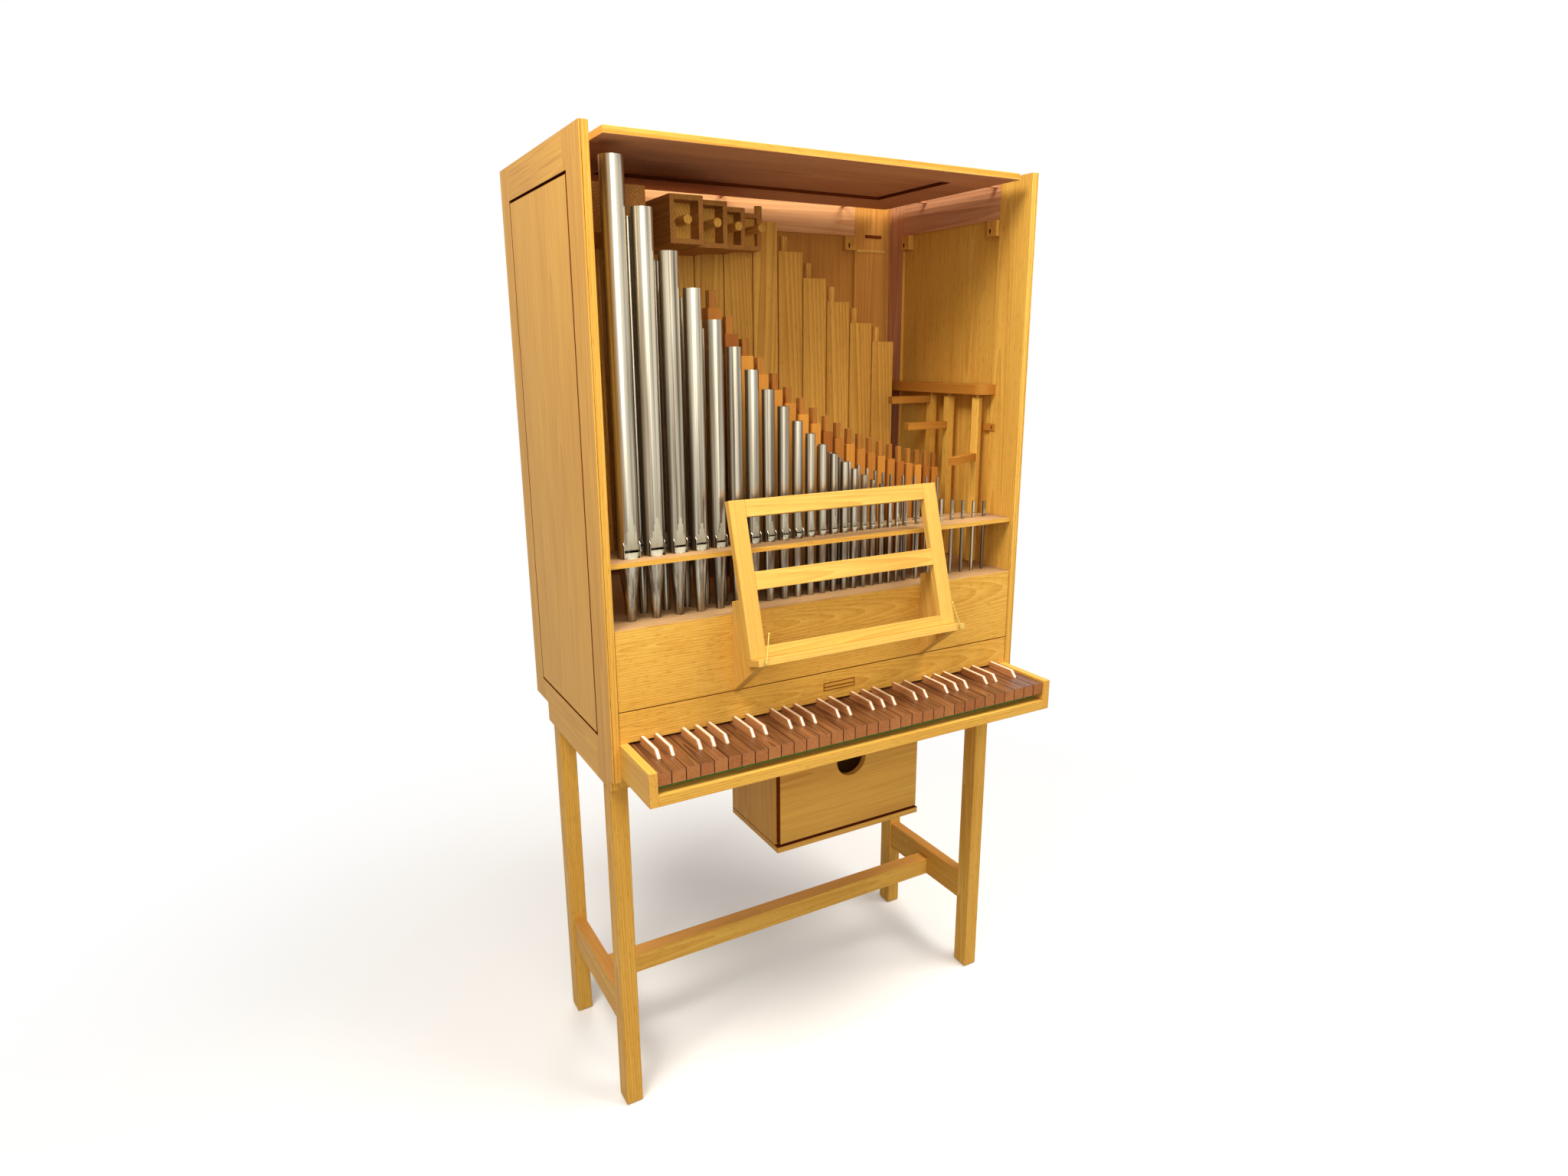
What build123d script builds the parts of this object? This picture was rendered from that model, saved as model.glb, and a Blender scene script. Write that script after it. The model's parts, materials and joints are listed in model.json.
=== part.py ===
# Cabinet pipe organ on a leg stand, built as separate named pieces.
# Millimetres, Z up, X to the player's right, Y from the player to the back.
# Origin on the floor under the middle of the whole organ.
import os

from build123d import *

os.makedirs("parts", exist_ok=True)

# Keyboard: 33 naturals from C, one octave is 164.5 mm
naturals_n = 33
key_pitch = 23.5
key_gap = 1.0
key_front = 118.0
key_tail = 34.0
key_top = 698.0
key_depth = 21.0
sharp_w = 7.0
sharp_front = 70.0
sharp_rise = 12.0
cap_t = 3.0
cheek_t = 14.0
cheek_out = 121.5
cheek_top = 702.0
cheek_bottom = 646.0
cheek_in = 60.0
bed_bottom = 646.0
bed_top = 664.0
slip_d = 23.5
felt_d = 26.0
felt_t = 6.0

# Case
side_t = 14.0
inner_half = naturals_n * key_pitch / 2 + 0.25 + cheek_t
outer_half = inner_half + side_t
case_d = 436.0
case_bottom = 620.0
case_top = 1605.0
strip_bottom = 638.0
strip_d = 13.0
back_step_d = 74.0
back_step_y = case_d - back_step_d
back_step_z = 656.0
rebate_y0 = 65.0
panel_back = 50.0
rebate_y1 = case_d - panel_back
rebate_z0 = 697.0
panel_head = 54.0
rebate_z1 = case_top - panel_head
rebate_t = 8.0
lip = 14.0
groove = 2.5
joint_gap = 0.2
catch_w = 26.0
catch_h = 28.0
catch_t = 6.0
catch_gap = 1.0
back_t = 14.0
back_stile = 90.0
back_drop = 4.0
roof_side = 24.0
roof_half = inner_half - roof_side
roof_shift = -5.0
roof_t = 11.0
roof_drop = 4.0
roof_top = case_top - roof_drop
roof_back = 38.0
roof_d = case_d - roof_back
roof_under = roof_top - roof_t
roof_rim = 88.0
roof_rim_front = 79.0
roof_rim_back = 98.0
roof_recess = 6.0
batten_s = 7.0
batten_y = [92.0, 300.0]
batten_x = [-280.0, 0.0, 280.0]
floor_t = 25.0
step_board = 22.0
step_floor_t = 12.0

# Wind chest front and boards
board_back = 2.0
board_t = 14.0
name_bottom = cheek_top
name_top = 754.5
panel_top = 886.0
toe_top = 888.0
toe_t = 20.0
rack_top = 992.0
rack_t = 8.0
rack_y0 = 8.0
rack_y1 = 104.0

# Metal pipes: whole-tone steps in front, a slimmer rank behind them
metal_n = 28
metal_in = 46.0
metal_x0 = metal_in - inner_half
metal_y = 46.0
row_gap = 36.0
mouth_z = 1000.0
metal_head = 18.0
metal_len = roof_under - metal_head - mouth_z
metal_step = 1.13
rear_n = 25
rear_width = 0.57
rear_left = 8.0
rear_first = 10.0
rear_tail = 56.0
rear_len = metal_len - rear_tail - 4
rear_step = 1.16
metal_wall = 1.0
foot_tip = 7.0
ear_n = 10
ear_t = 1.0
ear_d = 5.0
mouth_half = 0.7
mouth_h = 0.24

# Small stopped wooden pipes: semitone steps
wood_n = 20
wood_x0 = -163.0
wood_y = 134.0
wood_base = 950.0
wood_head = 190.0
wood_tail = 110.0
wood_step = 1.15
wood_side = 24.0
wood_shrink = 1.03
wood_gap = 6.5
handle_h = 28.0
wood_longest = roof_under - wood_head - handle_h - wood_base
wood_len = wood_longest - wood_tail

# Large stopped oak pipes along the back
bass_gap = 4.0
bass_d = 88.0
bass_y1 = case_d - back_t - bass_gap
bass_y0 = bass_y1 - bass_d
bass_wall = 8.0
bass_foot = 40.0
low_x0 = -365.0
low_w = 84.0
low_front = 12.0
bent_n = 4
bent_x0 = -222.0
bent_pitch = 60.5
bent_w = 58.5
bent_head = 43.0
bent_top = roof_under - bent_head
straight_n = 6
straight_x0 = 20.5
straight_pitch = 55.5
straight_w = 52.5
straight_head = 50.0
straight_len = roof_under - straight_head - toe_top
straight_step = 1.085
straight_d = 56.0
dowel_r = 7.2

# Stop action on the right wall
stop_in = 19.0
stop_x = inner_half - stop_in
stop_side = 15.0
shaft_foot = 6.0
bar_z0 = 1221.0
bar_z1 = 1240.0
bar_d = 36.0
bar_x = inner_half - bar_d
bar_front = 67.0
bar_round = 22.0
lever_len = 105.0
lever_h = 14.0
pin_r = 4.0
pin_gap = 0.1

# Music desk
desk_half = 206.0
desk_y = -74.0
desk_z = 831.0
desk_lean = 16.1
desk_len = 254.0
desk_t = 14.0
stile_w = 29.0
ledge_d = 40.0
ledge_t = 11.0
bracket_x = 184.0
bracket_t = 16.0
bracket_rise = 78.0
bracket_slope = 18.0
bracket_in = 12.0
wire_r = 1.2

# Stand
leg_x = 30.0
leg_y = 36.0
stand_in = 14.0
stand_half = outer_half - stand_in
stand_shift = -10.0
leg_front = 29.0
leg_end = 15.0
leg_back = back_step_y - leg_end - leg_y
stretch_z0 = 150.0
stretch_z1 = 212.0
stretch_t = 22.0
long_z0 = 152.0
long_z1 = 190.0
long_d = 31.0
long_y = (leg_front + leg_back + leg_y - long_d) / 2

# Blower box hung under the case
box_x0 = -102.0
box_x1 = 217.0
box_y0 = 29.0
box_y1 = 213.0
box_bottom = 410.0
box_t = 12.0
hole_r = 32.0
hole_z = 561.0

# Where the case front stands so that the whole organ is centred front to back
front = -(case_d - cheek_out) / 2
wall = inner_half


def slab(x0, x1, y0, y1, z0, z1, mode=Mode.ADD):
    """A board between two corners; y is counted back from the case front."""
    with Locations(((x0 + x1) / 2, front + (y0 + y1) / 2, (z0 + z1) / 2)):
        Box(abs(x1 - x0), abs(y1 - y0), abs(z1 - z0), mode=mode)


def profile(points, x0, x1, mode=Mode.ADD):
    """A plate of the given (y, z) outline between two x values."""
    with BuildSketch(Plane.YZ.offset(x0)) as outline:
        with BuildLine():
            Polyline([(front + y, z) for y, z in points], close=True)
        make_face()
    extrude(outline.sketch, amount=x1 - x0, mode=mode)


def save(builder, label):
    """Writes one finished piece."""
    builder.part.label = label
    export_step(builder.part, "parts/" + label + ".step")


side_outline = [
    (0, strip_bottom),
    (strip_d, strip_bottom),
    (strip_d, case_bottom),
    (back_step_y, case_bottom),
    (back_step_y, back_step_z),
    (case_d, back_step_z),
    (case_d, case_top),
    (0, case_top),
]
for hand, name in ((-1, "left"), (1, "right")):
    with BuildPart() as side:
        profile(side_outline, hand * wall, hand * outer_half)
        slab(hand * outer_half, hand * (outer_half - rebate_t), rebate_y0, rebate_y1,
             rebate_z0, rebate_z1, Mode.SUBTRACT)
        slab(hand * wall, hand * outer_half, rebate_y0 + lip, rebate_y1 - lip,
             rebate_z0 + lip, rebate_z1 - lip, Mode.SUBTRACT)
        # Joint lines part the rails from the two stiles
        for y in (rebate_y0 + lip, rebate_y1 - lip):
            slab(hand * wall, hand * outer_half, y - joint_gap, y, case_bottom, case_top, Mode.SUBTRACT)
    save(side, "side_frame_" + name)
    with BuildPart() as panel:
        slab(hand * outer_half, hand * (outer_half - rebate_t), rebate_y0 + groove, rebate_y1 - groove,
             rebate_z0 + groove, rebate_z1 - groove)
    save(panel, "side_panel_" + name)

# Back frame and its lift-out panel
with BuildPart() as back_frame:
    slab(-wall, wall, case_d - back_t, case_d, back_step_z, case_top - back_drop)
    slab(back_stile - wall, wall - back_stile, case_d - back_t, case_d, rebate_z0 + lip,
         rebate_z1 - lip, Mode.SUBTRACT)
    slab(back_stile - wall - lip, wall - back_stile + lip, case_d - rebate_t, case_d, rebate_z0,
         rebate_z1, Mode.SUBTRACT)
    for x in (back_stile - wall, wall - back_stile):
        slab(x - joint_gap / 2, x + joint_gap / 2, 0, case_d, 0, case_top, Mode.SUBTRACT)
save(back_frame, "back_frame")
with BuildPart() as back_panel:
    slab(back_stile - wall - lip + groove, wall - back_stile + lip - groove, case_d - rebate_t, case_d,
         rebate_z0 + groove, rebate_z1 - groove)
save(back_panel, "back_panel")

# Roof board, thinner inside its rim, held off the walls by short square battens
with BuildPart() as roof:
    slab(roof_shift - roof_half, roof_shift + roof_half, 0, roof_d, roof_under, roof_top)
    slab(roof_shift + roof_rim - roof_half, roof_shift + roof_half - roof_rim, roof_rim_front, roof_d - roof_rim_back,
         roof_under, roof_under + roof_recess, Mode.SUBTRACT)
save(roof, "roof_board")
with BuildPart() as battens:
    z = (roof_under + roof_top) / 2
    for y in batten_y:
        for hand in (-1, 1):
            slab(roof_shift + hand * roof_half, hand * wall, y - batten_s / 2, y + batten_s / 2,
                 z - batten_s / 2, z + batten_s / 2)
    for x in batten_x:
        slab(x - batten_s / 2, x + batten_s / 2, roof_d, case_d - back_t, z - batten_s / 2, z + batten_s / 2)
save(battens, "roof_battens")

# Floor of the case, chest front, name board, toe board
with BuildPart() as case_floor:
    riser_y = back_step_y - step_board
    slab(-wall, wall, strip_d, riser_y - joint_gap, case_bottom, case_bottom + floor_t)
    slab(-wall, wall, riser_y, back_step_y, case_bottom, back_step_z - joint_gap)
    slab(-wall, wall, riser_y, case_d - back_t, back_step_z, back_step_z + step_floor_t)
save(case_floor, "case_floor")
with BuildPart() as chest_front:
    slab(-wall, wall, board_back, board_back + board_t, name_top, panel_top)
save(chest_front, "chest_front")
with BuildPart() as name_board:
    slab(-wall, wall, board_back, board_back + board_t, name_bottom, name_top)
save(name_board, "name_board")

# Stop shaft stations, used by the boards they pass
stop_y = [236.0, 180.0, 96.0]
stop_lever_z = [1207.0, 1158.5, 1102.0]
stop_turn = [0.0, 0.0, 25.0]

with BuildPart() as toe_board:
    slab(-wall, wall, board_back, bass_y1, toe_top - toe_t, toe_top)
    slab(-wall, wall, board_back, board_back + board_t, toe_top - toe_t, panel_top, Mode.SUBTRACT)
    for y in stop_y:
        with Locations((stop_x, front + y, toe_top)):
            Cylinder(pin_r + pin_gap, 24, mode=Mode.SUBTRACT)
save(toe_board, "toe_board")

# Metal pipes: stations and sizes for both rows
front_x = []
front_d = []
x = metal_x0
for i in range(metal_n):
    d = 3 + 33 * 1.09 ** -i
    if i:
        x = x + (d + front_d[-1]) / 2 + (8.0 if i < 21 else 19.6)
    front_x.append(x)
    front_d.append(d)
rows = []
for i in range(metal_n):
    rows.append((front_x[i], metal_y, front_d[i] / 2, metal_len * metal_step ** -i))
second = []
for i in range(rear_n):
    second.append(
        (
            front_x[i] - rear_left if i else front_x[i] + rear_first,
            metal_y + row_gap,
            front_d[i] / 2 * rear_width,
            rear_tail + rear_len * rear_step ** -i,
        )
    )


def metal_pipe(r, length, ears):
    """One flue pipe on its own axis: foot, languid, mouth, ears and open tube."""
    inner = r - metal_wall
    tip = min(foot_tip, r * 0.8)
    shoulder = mouth_z - 8
    with BuildPart() as pipe:
        with BuildSketch(Plane.XZ):
            with BuildLine():
                Polyline(
                    [
                        (tip, toe_top),
                        (r, shoulder),
                        (r, mouth_z + length),
                        (inner, mouth_z + length),
                        (inner, mouth_z),
                        (0, mouth_z),
                        (0, mouth_z - 4),
                        (inner, mouth_z - 4),
                        (inner, shoulder),
                        (tip - metal_wall, toe_top),
                    ],
                    close=True,
                )
            make_face()
        revolve(axis=Axis.Z)
        with Locations((0, -r, mouth_z + r * mouth_h / 2)):
            Box(r * 2 * mouth_half, r, r * mouth_h, mode=Mode.SUBTRACT)
        # Ears stand out beside the mouth of the larger pipes
        if ears:
            side_y = -r * (1 - mouth_half ** 2) ** 0.5
            for hand in (-1, 1):
                with Locations((hand * (r * mouth_half + ear_t), side_y + 1 - ear_d / 2, mouth_z + r * 0.2)):
                    Box(ear_t, ear_d, r * 0.8)
    return pipe.part


for stations, name in ((rows, "principal_pipes_front"), (second, "principal_pipes_rear")):
    pipes = []
    for px, py, r, length in stations:
        ears = stations is rows and len(pipes) < ear_n
        pipes.append(metal_pipe(r, length, ears).moved(Location((px, front + py, 0))))
    with BuildPart() as rank:
        add(pipes)
    save(rank, name)

with BuildPart() as rack:
    slab(-wall, wall, rack_y0, rack_y1, rack_top - rack_t, rack_top)
    for px, py, r, length in rows + second:
        with Locations((px, front + py, rack_top)):
            Cylinder(r + 0.4, 30, mode=Mode.SUBTRACT)
    for y in stop_y:
        if y < rack_y1 + stop_side:
            slab(stop_x - 17, wall, y - 17, rack_y1, rack_top - rack_t, rack_top, Mode.SUBTRACT)
save(rack, "rack_board")

# Small stopped wooden pipes with a stopper handle each
bodies = []
handles = []
x = wood_x0
for k in range(wood_n):
    s = wood_side * wood_shrink ** -k
    top = wood_base + wood_tail + wood_len * wood_step ** -k
    with BuildPart() as body:
        slab(x - s / 2, x + s / 2, wood_y - s * 0.6, wood_y + s * 0.6, toe_top + 30, top)
        slab(x - s / 2 + 3, x + s / 2 - 3, wood_y - s * 0.6 + 3, wood_y + s * 0.6 - 3,
             wood_base + 10, top - 25, Mode.SUBTRACT)
        slab(x - s / 2 + 3, x + s / 2 - 3, wood_y - s * 0.6 - 1, wood_y, wood_base + 10,
             wood_base + 10 + s * 0.35, Mode.SUBTRACT)
        with Locations((x, front + wood_y, toe_top + 15)):
            Cylinder(5, 30)
    bodies.append(body.part)
    with BuildPart() as handle:
        slab(x - s * 0.27, x + s * 0.27, wood_y - s * 0.3, wood_y + s * 0.3, top, top + handle_h)
    handles.append(handle.part)
    x = x + (s + s / wood_shrink) / 2 + wood_gap
with BuildPart() as wood_pipes:
    add(bodies)
save(wood_pipes, "wood_pipes")
with BuildPart() as wood_handles:
    add(handles)
save(wood_handles, "wood_pipe_handles")

# Large oak pipes: five bent forward at the top, six straight
bent = []
arms = []
straight = []
dowels = []
bent_x = [low_x0] + [bent_x0 + bent_pitch * i for i in range(bent_n)]
bent_wide = [low_w] + [bent_w] * bent_n
bent_reach = [222.0, 176.0, 142.0, 90.0, 37.0]
bent_height = [71.0, 75.0, 75.0, 70.0, 64.0]
# How deep each stopper sits and how far its handle stands out; the lowest is closed by a board
stopper_in = [0.0, 33.0, 32.0, 30.0, 10.0]
handle_out = [0.0, 4.0, 23.0, 33.0, 57.0]
for i in range(bent_n + 1):
    x0 = bent_x[i]
    x1 = x0 + bent_wide[i]
    y0 = bass_y0 - bent_reach[i]
    z0 = bent_top - bent_height[i]
    w = bass_wall
    with BuildPart() as body:
        slab(x0, x1, bass_y0, bass_y1, toe_top + bass_foot, bent_top)
        slab(x0 + w, x1 - w, bass_y0 + w, bass_y1 - w, toe_top + bass_foot + 60, bent_top - w, Mode.SUBTRACT)
        slab(x0 + w, x1 - w, bass_y0 - 1, bass_y0 + w + 1, z0 + w, bent_top - w, Mode.SUBTRACT)
        slab(x0 + w, x1 - w, bass_y0 - 1, bass_y0 + w + 1, toe_top + bass_foot + 60,
             toe_top + bass_foot + 80, Mode.SUBTRACT)
        with Locations(((x0 + x1) / 2, front + (bass_y0 + bass_y1) / 2, toe_top + bass_foot / 2)):
            Cylinder(14, bass_foot)
    bent.append(body.part)
    bore = y0 if stopper_in[i] else y0 + low_front
    with BuildPart() as arm:
        slab(x0, x1, y0, bass_y0, z0, bent_top)
        slab(x0 + w, x1 - w, bore, bass_y0, z0 + w, bent_top - w, Mode.SUBTRACT)
    arms.append(arm.part)
    if stopper_in[i]:
        with BuildPart() as stopper:
            slab(x0 + w, x1 - w, y0 + stopper_in[i], y0 + stopper_in[i] + 24, z0 + w, bent_top - w)
            y = y0 + (stopper_in[i] - handle_out[i]) / 2
            with Locations(((x0 + x1) / 2, front + y, (z0 + bent_top) / 2)):
                Cylinder(dowel_r, stopper_in[i] + handle_out[i], rotation=(90, 0, 0))
        dowels.append(stopper.part)
for i in range(straight_n):
    x0 = straight_x0 + straight_pitch * i
    x1 = x0 + straight_w
    top = toe_top + straight_len * straight_step ** -i
    w = bass_wall
    y1 = bass_y0 + straight_d
    with BuildPart() as body:
        slab(x0, x1, bass_y0, y1, toe_top + bass_foot, top)
        slab(x0 + w, x1 - w, bass_y0 + w, y1 - w, toe_top + bass_foot + 60, top, Mode.SUBTRACT)
        slab(x0 + w, x1 - w, bass_y0 - 1, bass_y0 + w + 1, toe_top + bass_foot + 60,
             toe_top + bass_foot + 80, Mode.SUBTRACT)
        with Locations(((x0 + x1) / 2, front + (bass_y0 + y1) / 2, toe_top + bass_foot / 2)):
            Cylinder(14, bass_foot)
    straight.append(body.part)
    with BuildPart() as stopper:
        slab(x0 + w, x1 - w, bass_y0 + w, y1 - w, top - 40, top - 3)
        with Locations(((x0 + x1) / 2, front + (bass_y0 + y1) / 2, top + 12)):
            Cylinder(dowel_r, 36)
    dowels.append(stopper.part)
with BuildPart() as bent_pipes:
    add(bent)
save(bent_pipes, "bass_pipes_bent")
with BuildPart() as bent_arms:
    add(arms)
save(bent_arms, "bass_pipe_arms")
with BuildPart() as straight_pipes:
    add(straight)
save(straight_pipes, "bass_pipes_straight")
with BuildPart() as stoppers:
    add(dowels)
save(stoppers, "bass_stoppers")

# Keyboard
left = -naturals_n * key_pitch / 2
key_width = key_pitch - key_gap
sharp_x = []
for n in range(1, naturals_n):
    if n % 7 not in (0, 3):
        sharp_x.append(left + key_pitch * n)
with BuildPart() as naturals:
    for n in range(naturals_n):
        x = left + key_pitch * (n + 0.5)
        slab(x - key_width / 2, x + key_width / 2, -key_front, key_tail, key_top - key_depth, key_top)
    for x in sharp_x:
        slab(x - sharp_w / 2 - 1, x + sharp_w / 2 + 1, -sharp_front - 2, key_tail + 1,
             key_top - key_depth - 1, key_top + 1, Mode.SUBTRACT)
save(naturals, "natural_keys")
with BuildPart() as sharps:
    for x in sharp_x:
        profile(
            [
                (-sharp_front, key_top - key_depth),
                (key_tail, key_top - key_depth),
                (key_tail, key_top),
                (0, key_top),
                (0, key_top + sharp_rise - cap_t),
                (-sharp_front + 13, key_top + sharp_rise - cap_t),
                (-sharp_front + 3, key_top),
                (-sharp_front, key_top),
            ],
            x - sharp_w / 2,
            x + sharp_w / 2,
        )
save(sharps, "sharp_keys")
with BuildPart() as caps:
    for x in sharp_x:
        profile(
            [
                (-sharp_front, key_top),
                (-sharp_front + 3, key_top),
                (-sharp_front + 13, key_top + sharp_rise - cap_t),
                (0, key_top + sharp_rise - cap_t),
                (0, key_top + sharp_rise),
                (-sharp_front + 11, key_top + sharp_rise),
            ],
            x - sharp_w / 2,
            x + sharp_w / 2,
        )
save(caps, "sharp_caps")
with BuildPart() as felt:
    slab(-wall + cheek_t, wall - cheek_t, slip_d - cheek_out, slip_d - cheek_out + felt_d, bed_top, bed_top + felt_t)
save(felt, "key_felt")
with BuildPart() as bed:
    slab(-wall + cheek_t, wall - cheek_t, slip_d - cheek_out, cheek_in, bed_bottom, bed_top)
    slab(-wall + cheek_t, wall - cheek_t, -20, 10, bed_top, key_top - key_depth)
save(bed, "key_bed")
with BuildPart() as slip:
    slab(-wall + cheek_t, wall - cheek_t, -cheek_out, slip_d - cheek_out, bed_bottom, bed_top)
save(slip, "key_slip")
with BuildPart() as cheeks:
    for hand in (-1, 1):
        slab(hand * (wall - cheek_t), hand * wall, -cheek_out, board_back, cheek_bottom, cheek_top)
        slab(hand * (wall - cheek_t), hand * wall, 0, cheek_in, cheek_bottom, cheek_top)
save(cheeks, "key_cheeks")

# Music desk on its two brackets; the desk lies in a plane leaning back
lean_rot = (-desk_lean, 0, 0)
desk_plane = Plane(
    origin=(0, front + desk_y, desk_z),
    x_dir=(1, 0, 0),
    z_dir=Vector(0, -1, 0).rotate(Axis.X, -desk_lean),
)
desk_rows = [(0.0, 18.0), (108.5, 138.0), (226.0, desk_len)]


def desk_slab(x0, x1, s0, s1, d0, d1):
    """A board in the desk plane: x across, s up the slope, d out to the front."""
    with BuildSketch(desk_plane.offset(d0)) as outline:
        with Locations(((x0 + x1) / 2, (s0 + s1) / 2)):
            Rectangle(x1 - x0, s1 - s0)
    extrude(outline.sketch, amount=d1 - d0)


with BuildPart() as stiles:
    desk_slab(-desk_half, -desk_half + stile_w, 0, desk_len, -desk_t, 0)
    desk_slab(desk_half - stile_w, desk_half, 0, desk_len, -desk_t, 0)
save(stiles, "desk_stiles")
with BuildPart() as rails:
    for s0, s1 in desk_rows:
        desk_slab(-desk_half + stile_w, desk_half - stile_w, s0, s1, -desk_t, 0)
save(rails, "desk_rails")
holder_at = []
for hand in (-1, 1):
    holder_at.append(
        desk_plane.offset(ledge_d - desk_t).location * Location((hand * (desk_half - 12), -ledge_t / 2, 0))
    )
with BuildPart() as ledge:
    desk_slab(-desk_half, desk_half, -ledge_t, 0, -desk_t, ledge_d - desk_t)
    for at in holder_at:
        with Locations(at):
            Cylinder(wire_r + pin_gap, 16, mode=Mode.SUBTRACT)
save(ledge, "desk_ledge")
nose = desk_plane.from_local_coords((0, -ledge_t, ledge_d - desk_t - bracket_in))
with BuildPart() as brackets:
    for hand in (-1, 1):
        profile(
            [
                (board_back, name_top),
                (board_back, desk_z + bracket_rise),
                (desk_y + bracket_slope, desk_z + bracket_rise + bracket_slope),
                (nose.Y - front, nose.Z),
            ],
            hand * bracket_x,
            hand * (bracket_x + bracket_t),
        )
    add(Box(1000, 400, 800, mode=Mode.PRIVATE).moved(desk_plane.offset(-desk_t).location
        * Location((0, 200 - ledge_t, 400))), mode=Mode.SUBTRACT)
    add(Box(1000, 800, 400, mode=Mode.PRIVATE).moved(desk_plane.location
        * Location((0, 0, ledge_d - desk_t + 200 - bracket_in))), mode=Mode.SUBTRACT)
save(brackets, "desk_brackets")
for hand, name in ((-1, "left"), (1, "right")):
    with BuildPart() as wire:
        with Locations(holder_at[(hand + 1) // 2]):
            with Locations((0, 0, -1)):
                Cylinder(wire_r, 10)
            with Locations((0, 0, 3.6)):
                Cylinder(3.5, 2.0)
            with Locations(Location((0, 0, 3.6), (0, 0, hand * 14))):
                with Locations((0, 22, 0)):
                    Cylinder(wire_r, 44, rotation=(90, 0, 0))
                with Locations((0, 45, 0)):
                    Sphere(2.2)
    save(wire, "page_holder_" + name)

# Stop action: guide bar on the wall and three turning shafts with handles
with BuildPart() as bar:
    slab(bar_x, wall, bar_front, case_d - back_t, bar_z0, bar_z1)
    fillet(bar.edges().filter_by(Axis.Z).sort_by(Axis.Y)[:2].sort_by(Axis.X)[:1], bar_round)
    for y in stop_y:
        with Locations((stop_x, front + y, bar_z0)):
            Cylinder(pin_r + pin_gap, 24, mode=Mode.SUBTRACT)
save(bar, "stop_guide_bar")
for n in range(3):
    turn = stop_turn[n]
    spot = Location((stop_x, front + stop_y[n], 0), (0, 0, turn))
    with BuildPart() as shaft:
        with Locations(spot):
            with Locations((0, 0, (toe_top + bar_z0) / 2)):
                Box(stop_side, stop_side, bar_z0 - toe_top - 2 * shaft_foot)
                Cylinder(pin_r, bar_z0 - toe_top + 20)
    save(shaft, "stop_shaft_" + str(n + 1))
    with BuildPart() as lever:
        with Locations(spot):
            with Locations((-(lever_len + stop_side / 2) / 2, 0, stop_lever_z[n])):
                Box(lever_len - stop_side / 2, 13, lever_h)
    save(lever, "stop_handle_" + str(n + 1))

# Catch blocks of the lift-out panels
catch_y = (rebate_y0 + lip + catch_gap, rebate_y1 - lip - catch_gap - catch_w)
catch_z = rebate_z1 - lip - catch_gap
with BuildPart() as catches:
    for hand in (-1, 1):
        for y in catch_y:
            slab(hand * (outer_half - rebate_t), hand * (wall - catch_t), y, y + catch_w,
                 catch_z - catch_h, catch_z)
    back_catch = wall - back_stile - catch_gap
    slab(back_catch - catch_w, back_catch, case_d - rebate_t, case_d - back_t - catch_t,
         catch_z - catch_h, catch_z)
save(catches, "panel_catches")

# Stand
legs_x = (stand_shift - stand_half, stand_shift + stand_half - leg_x)
with BuildPart() as legs:
    for x in legs_x:
        for y in (leg_front, leg_back):
            slab(x, x + leg_x, y, y + leg_y, 0, case_bottom)
    chamfer(legs.edges().group_by(Axis.Z)[0], 3)
save(legs, "legs")
with BuildPart() as side_stretchers:
    for x in legs_x:
        mid = x + leg_x / 2
        slab(mid - stretch_t / 2, mid + stretch_t / 2, leg_front + leg_y, leg_back, stretch_z0, stretch_z1)
save(side_stretchers, "side_stretchers")
with BuildPart() as long_stretcher:
    slab(legs_x[0] + (leg_x + stretch_t) / 2, legs_x[1] + (leg_x - stretch_t) / 2,
         long_y, long_y + long_d, long_z0, long_z1)
save(long_stretcher, "long_stretcher")

# Blower box: carcass, front with a finger hole, bottom board
with BuildPart() as box:
    for x in (box_x0, box_x1 - box_t):
        slab(x, x + box_t, box_y0 + box_t, box_y1, box_bottom + box_t, case_bottom)
    inside = (box_x0 + box_t + joint_gap, box_x1 - box_t - joint_gap)
    slab(inside[0], inside[1], box_y1 - box_t, box_y1, box_bottom + box_t, case_bottom)
    slab(inside[0], inside[1], box_y0 + box_t, box_y1 - box_t - joint_gap, case_bottom - box_t, case_bottom)
save(box, "blower_box")
with BuildPart() as box_front:
    slab(box_x0 + 4, box_x1 - 4, box_y0, box_y0 + box_t, box_bottom + box_t + 4, case_bottom - 4)
    with Locations(((box_x0 + box_x1) / 2, front + box_y0, hole_z)):
        Cylinder(hole_r, 60, rotation=(90, 0, 0), mode=Mode.SUBTRACT)
save(box_front, "blower_box_front")
with BuildPart() as box_base:
    slab(box_x0, box_x1, box_y0, box_y1, box_bottom, box_bottom + box_t)
save(box_base, "blower_box_bottom")
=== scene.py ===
"""Looks of a small cabinet pipe organ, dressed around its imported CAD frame."""
import json
import math
import random

import bmesh
import bpy
from mathutils import Matrix, Vector

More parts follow.
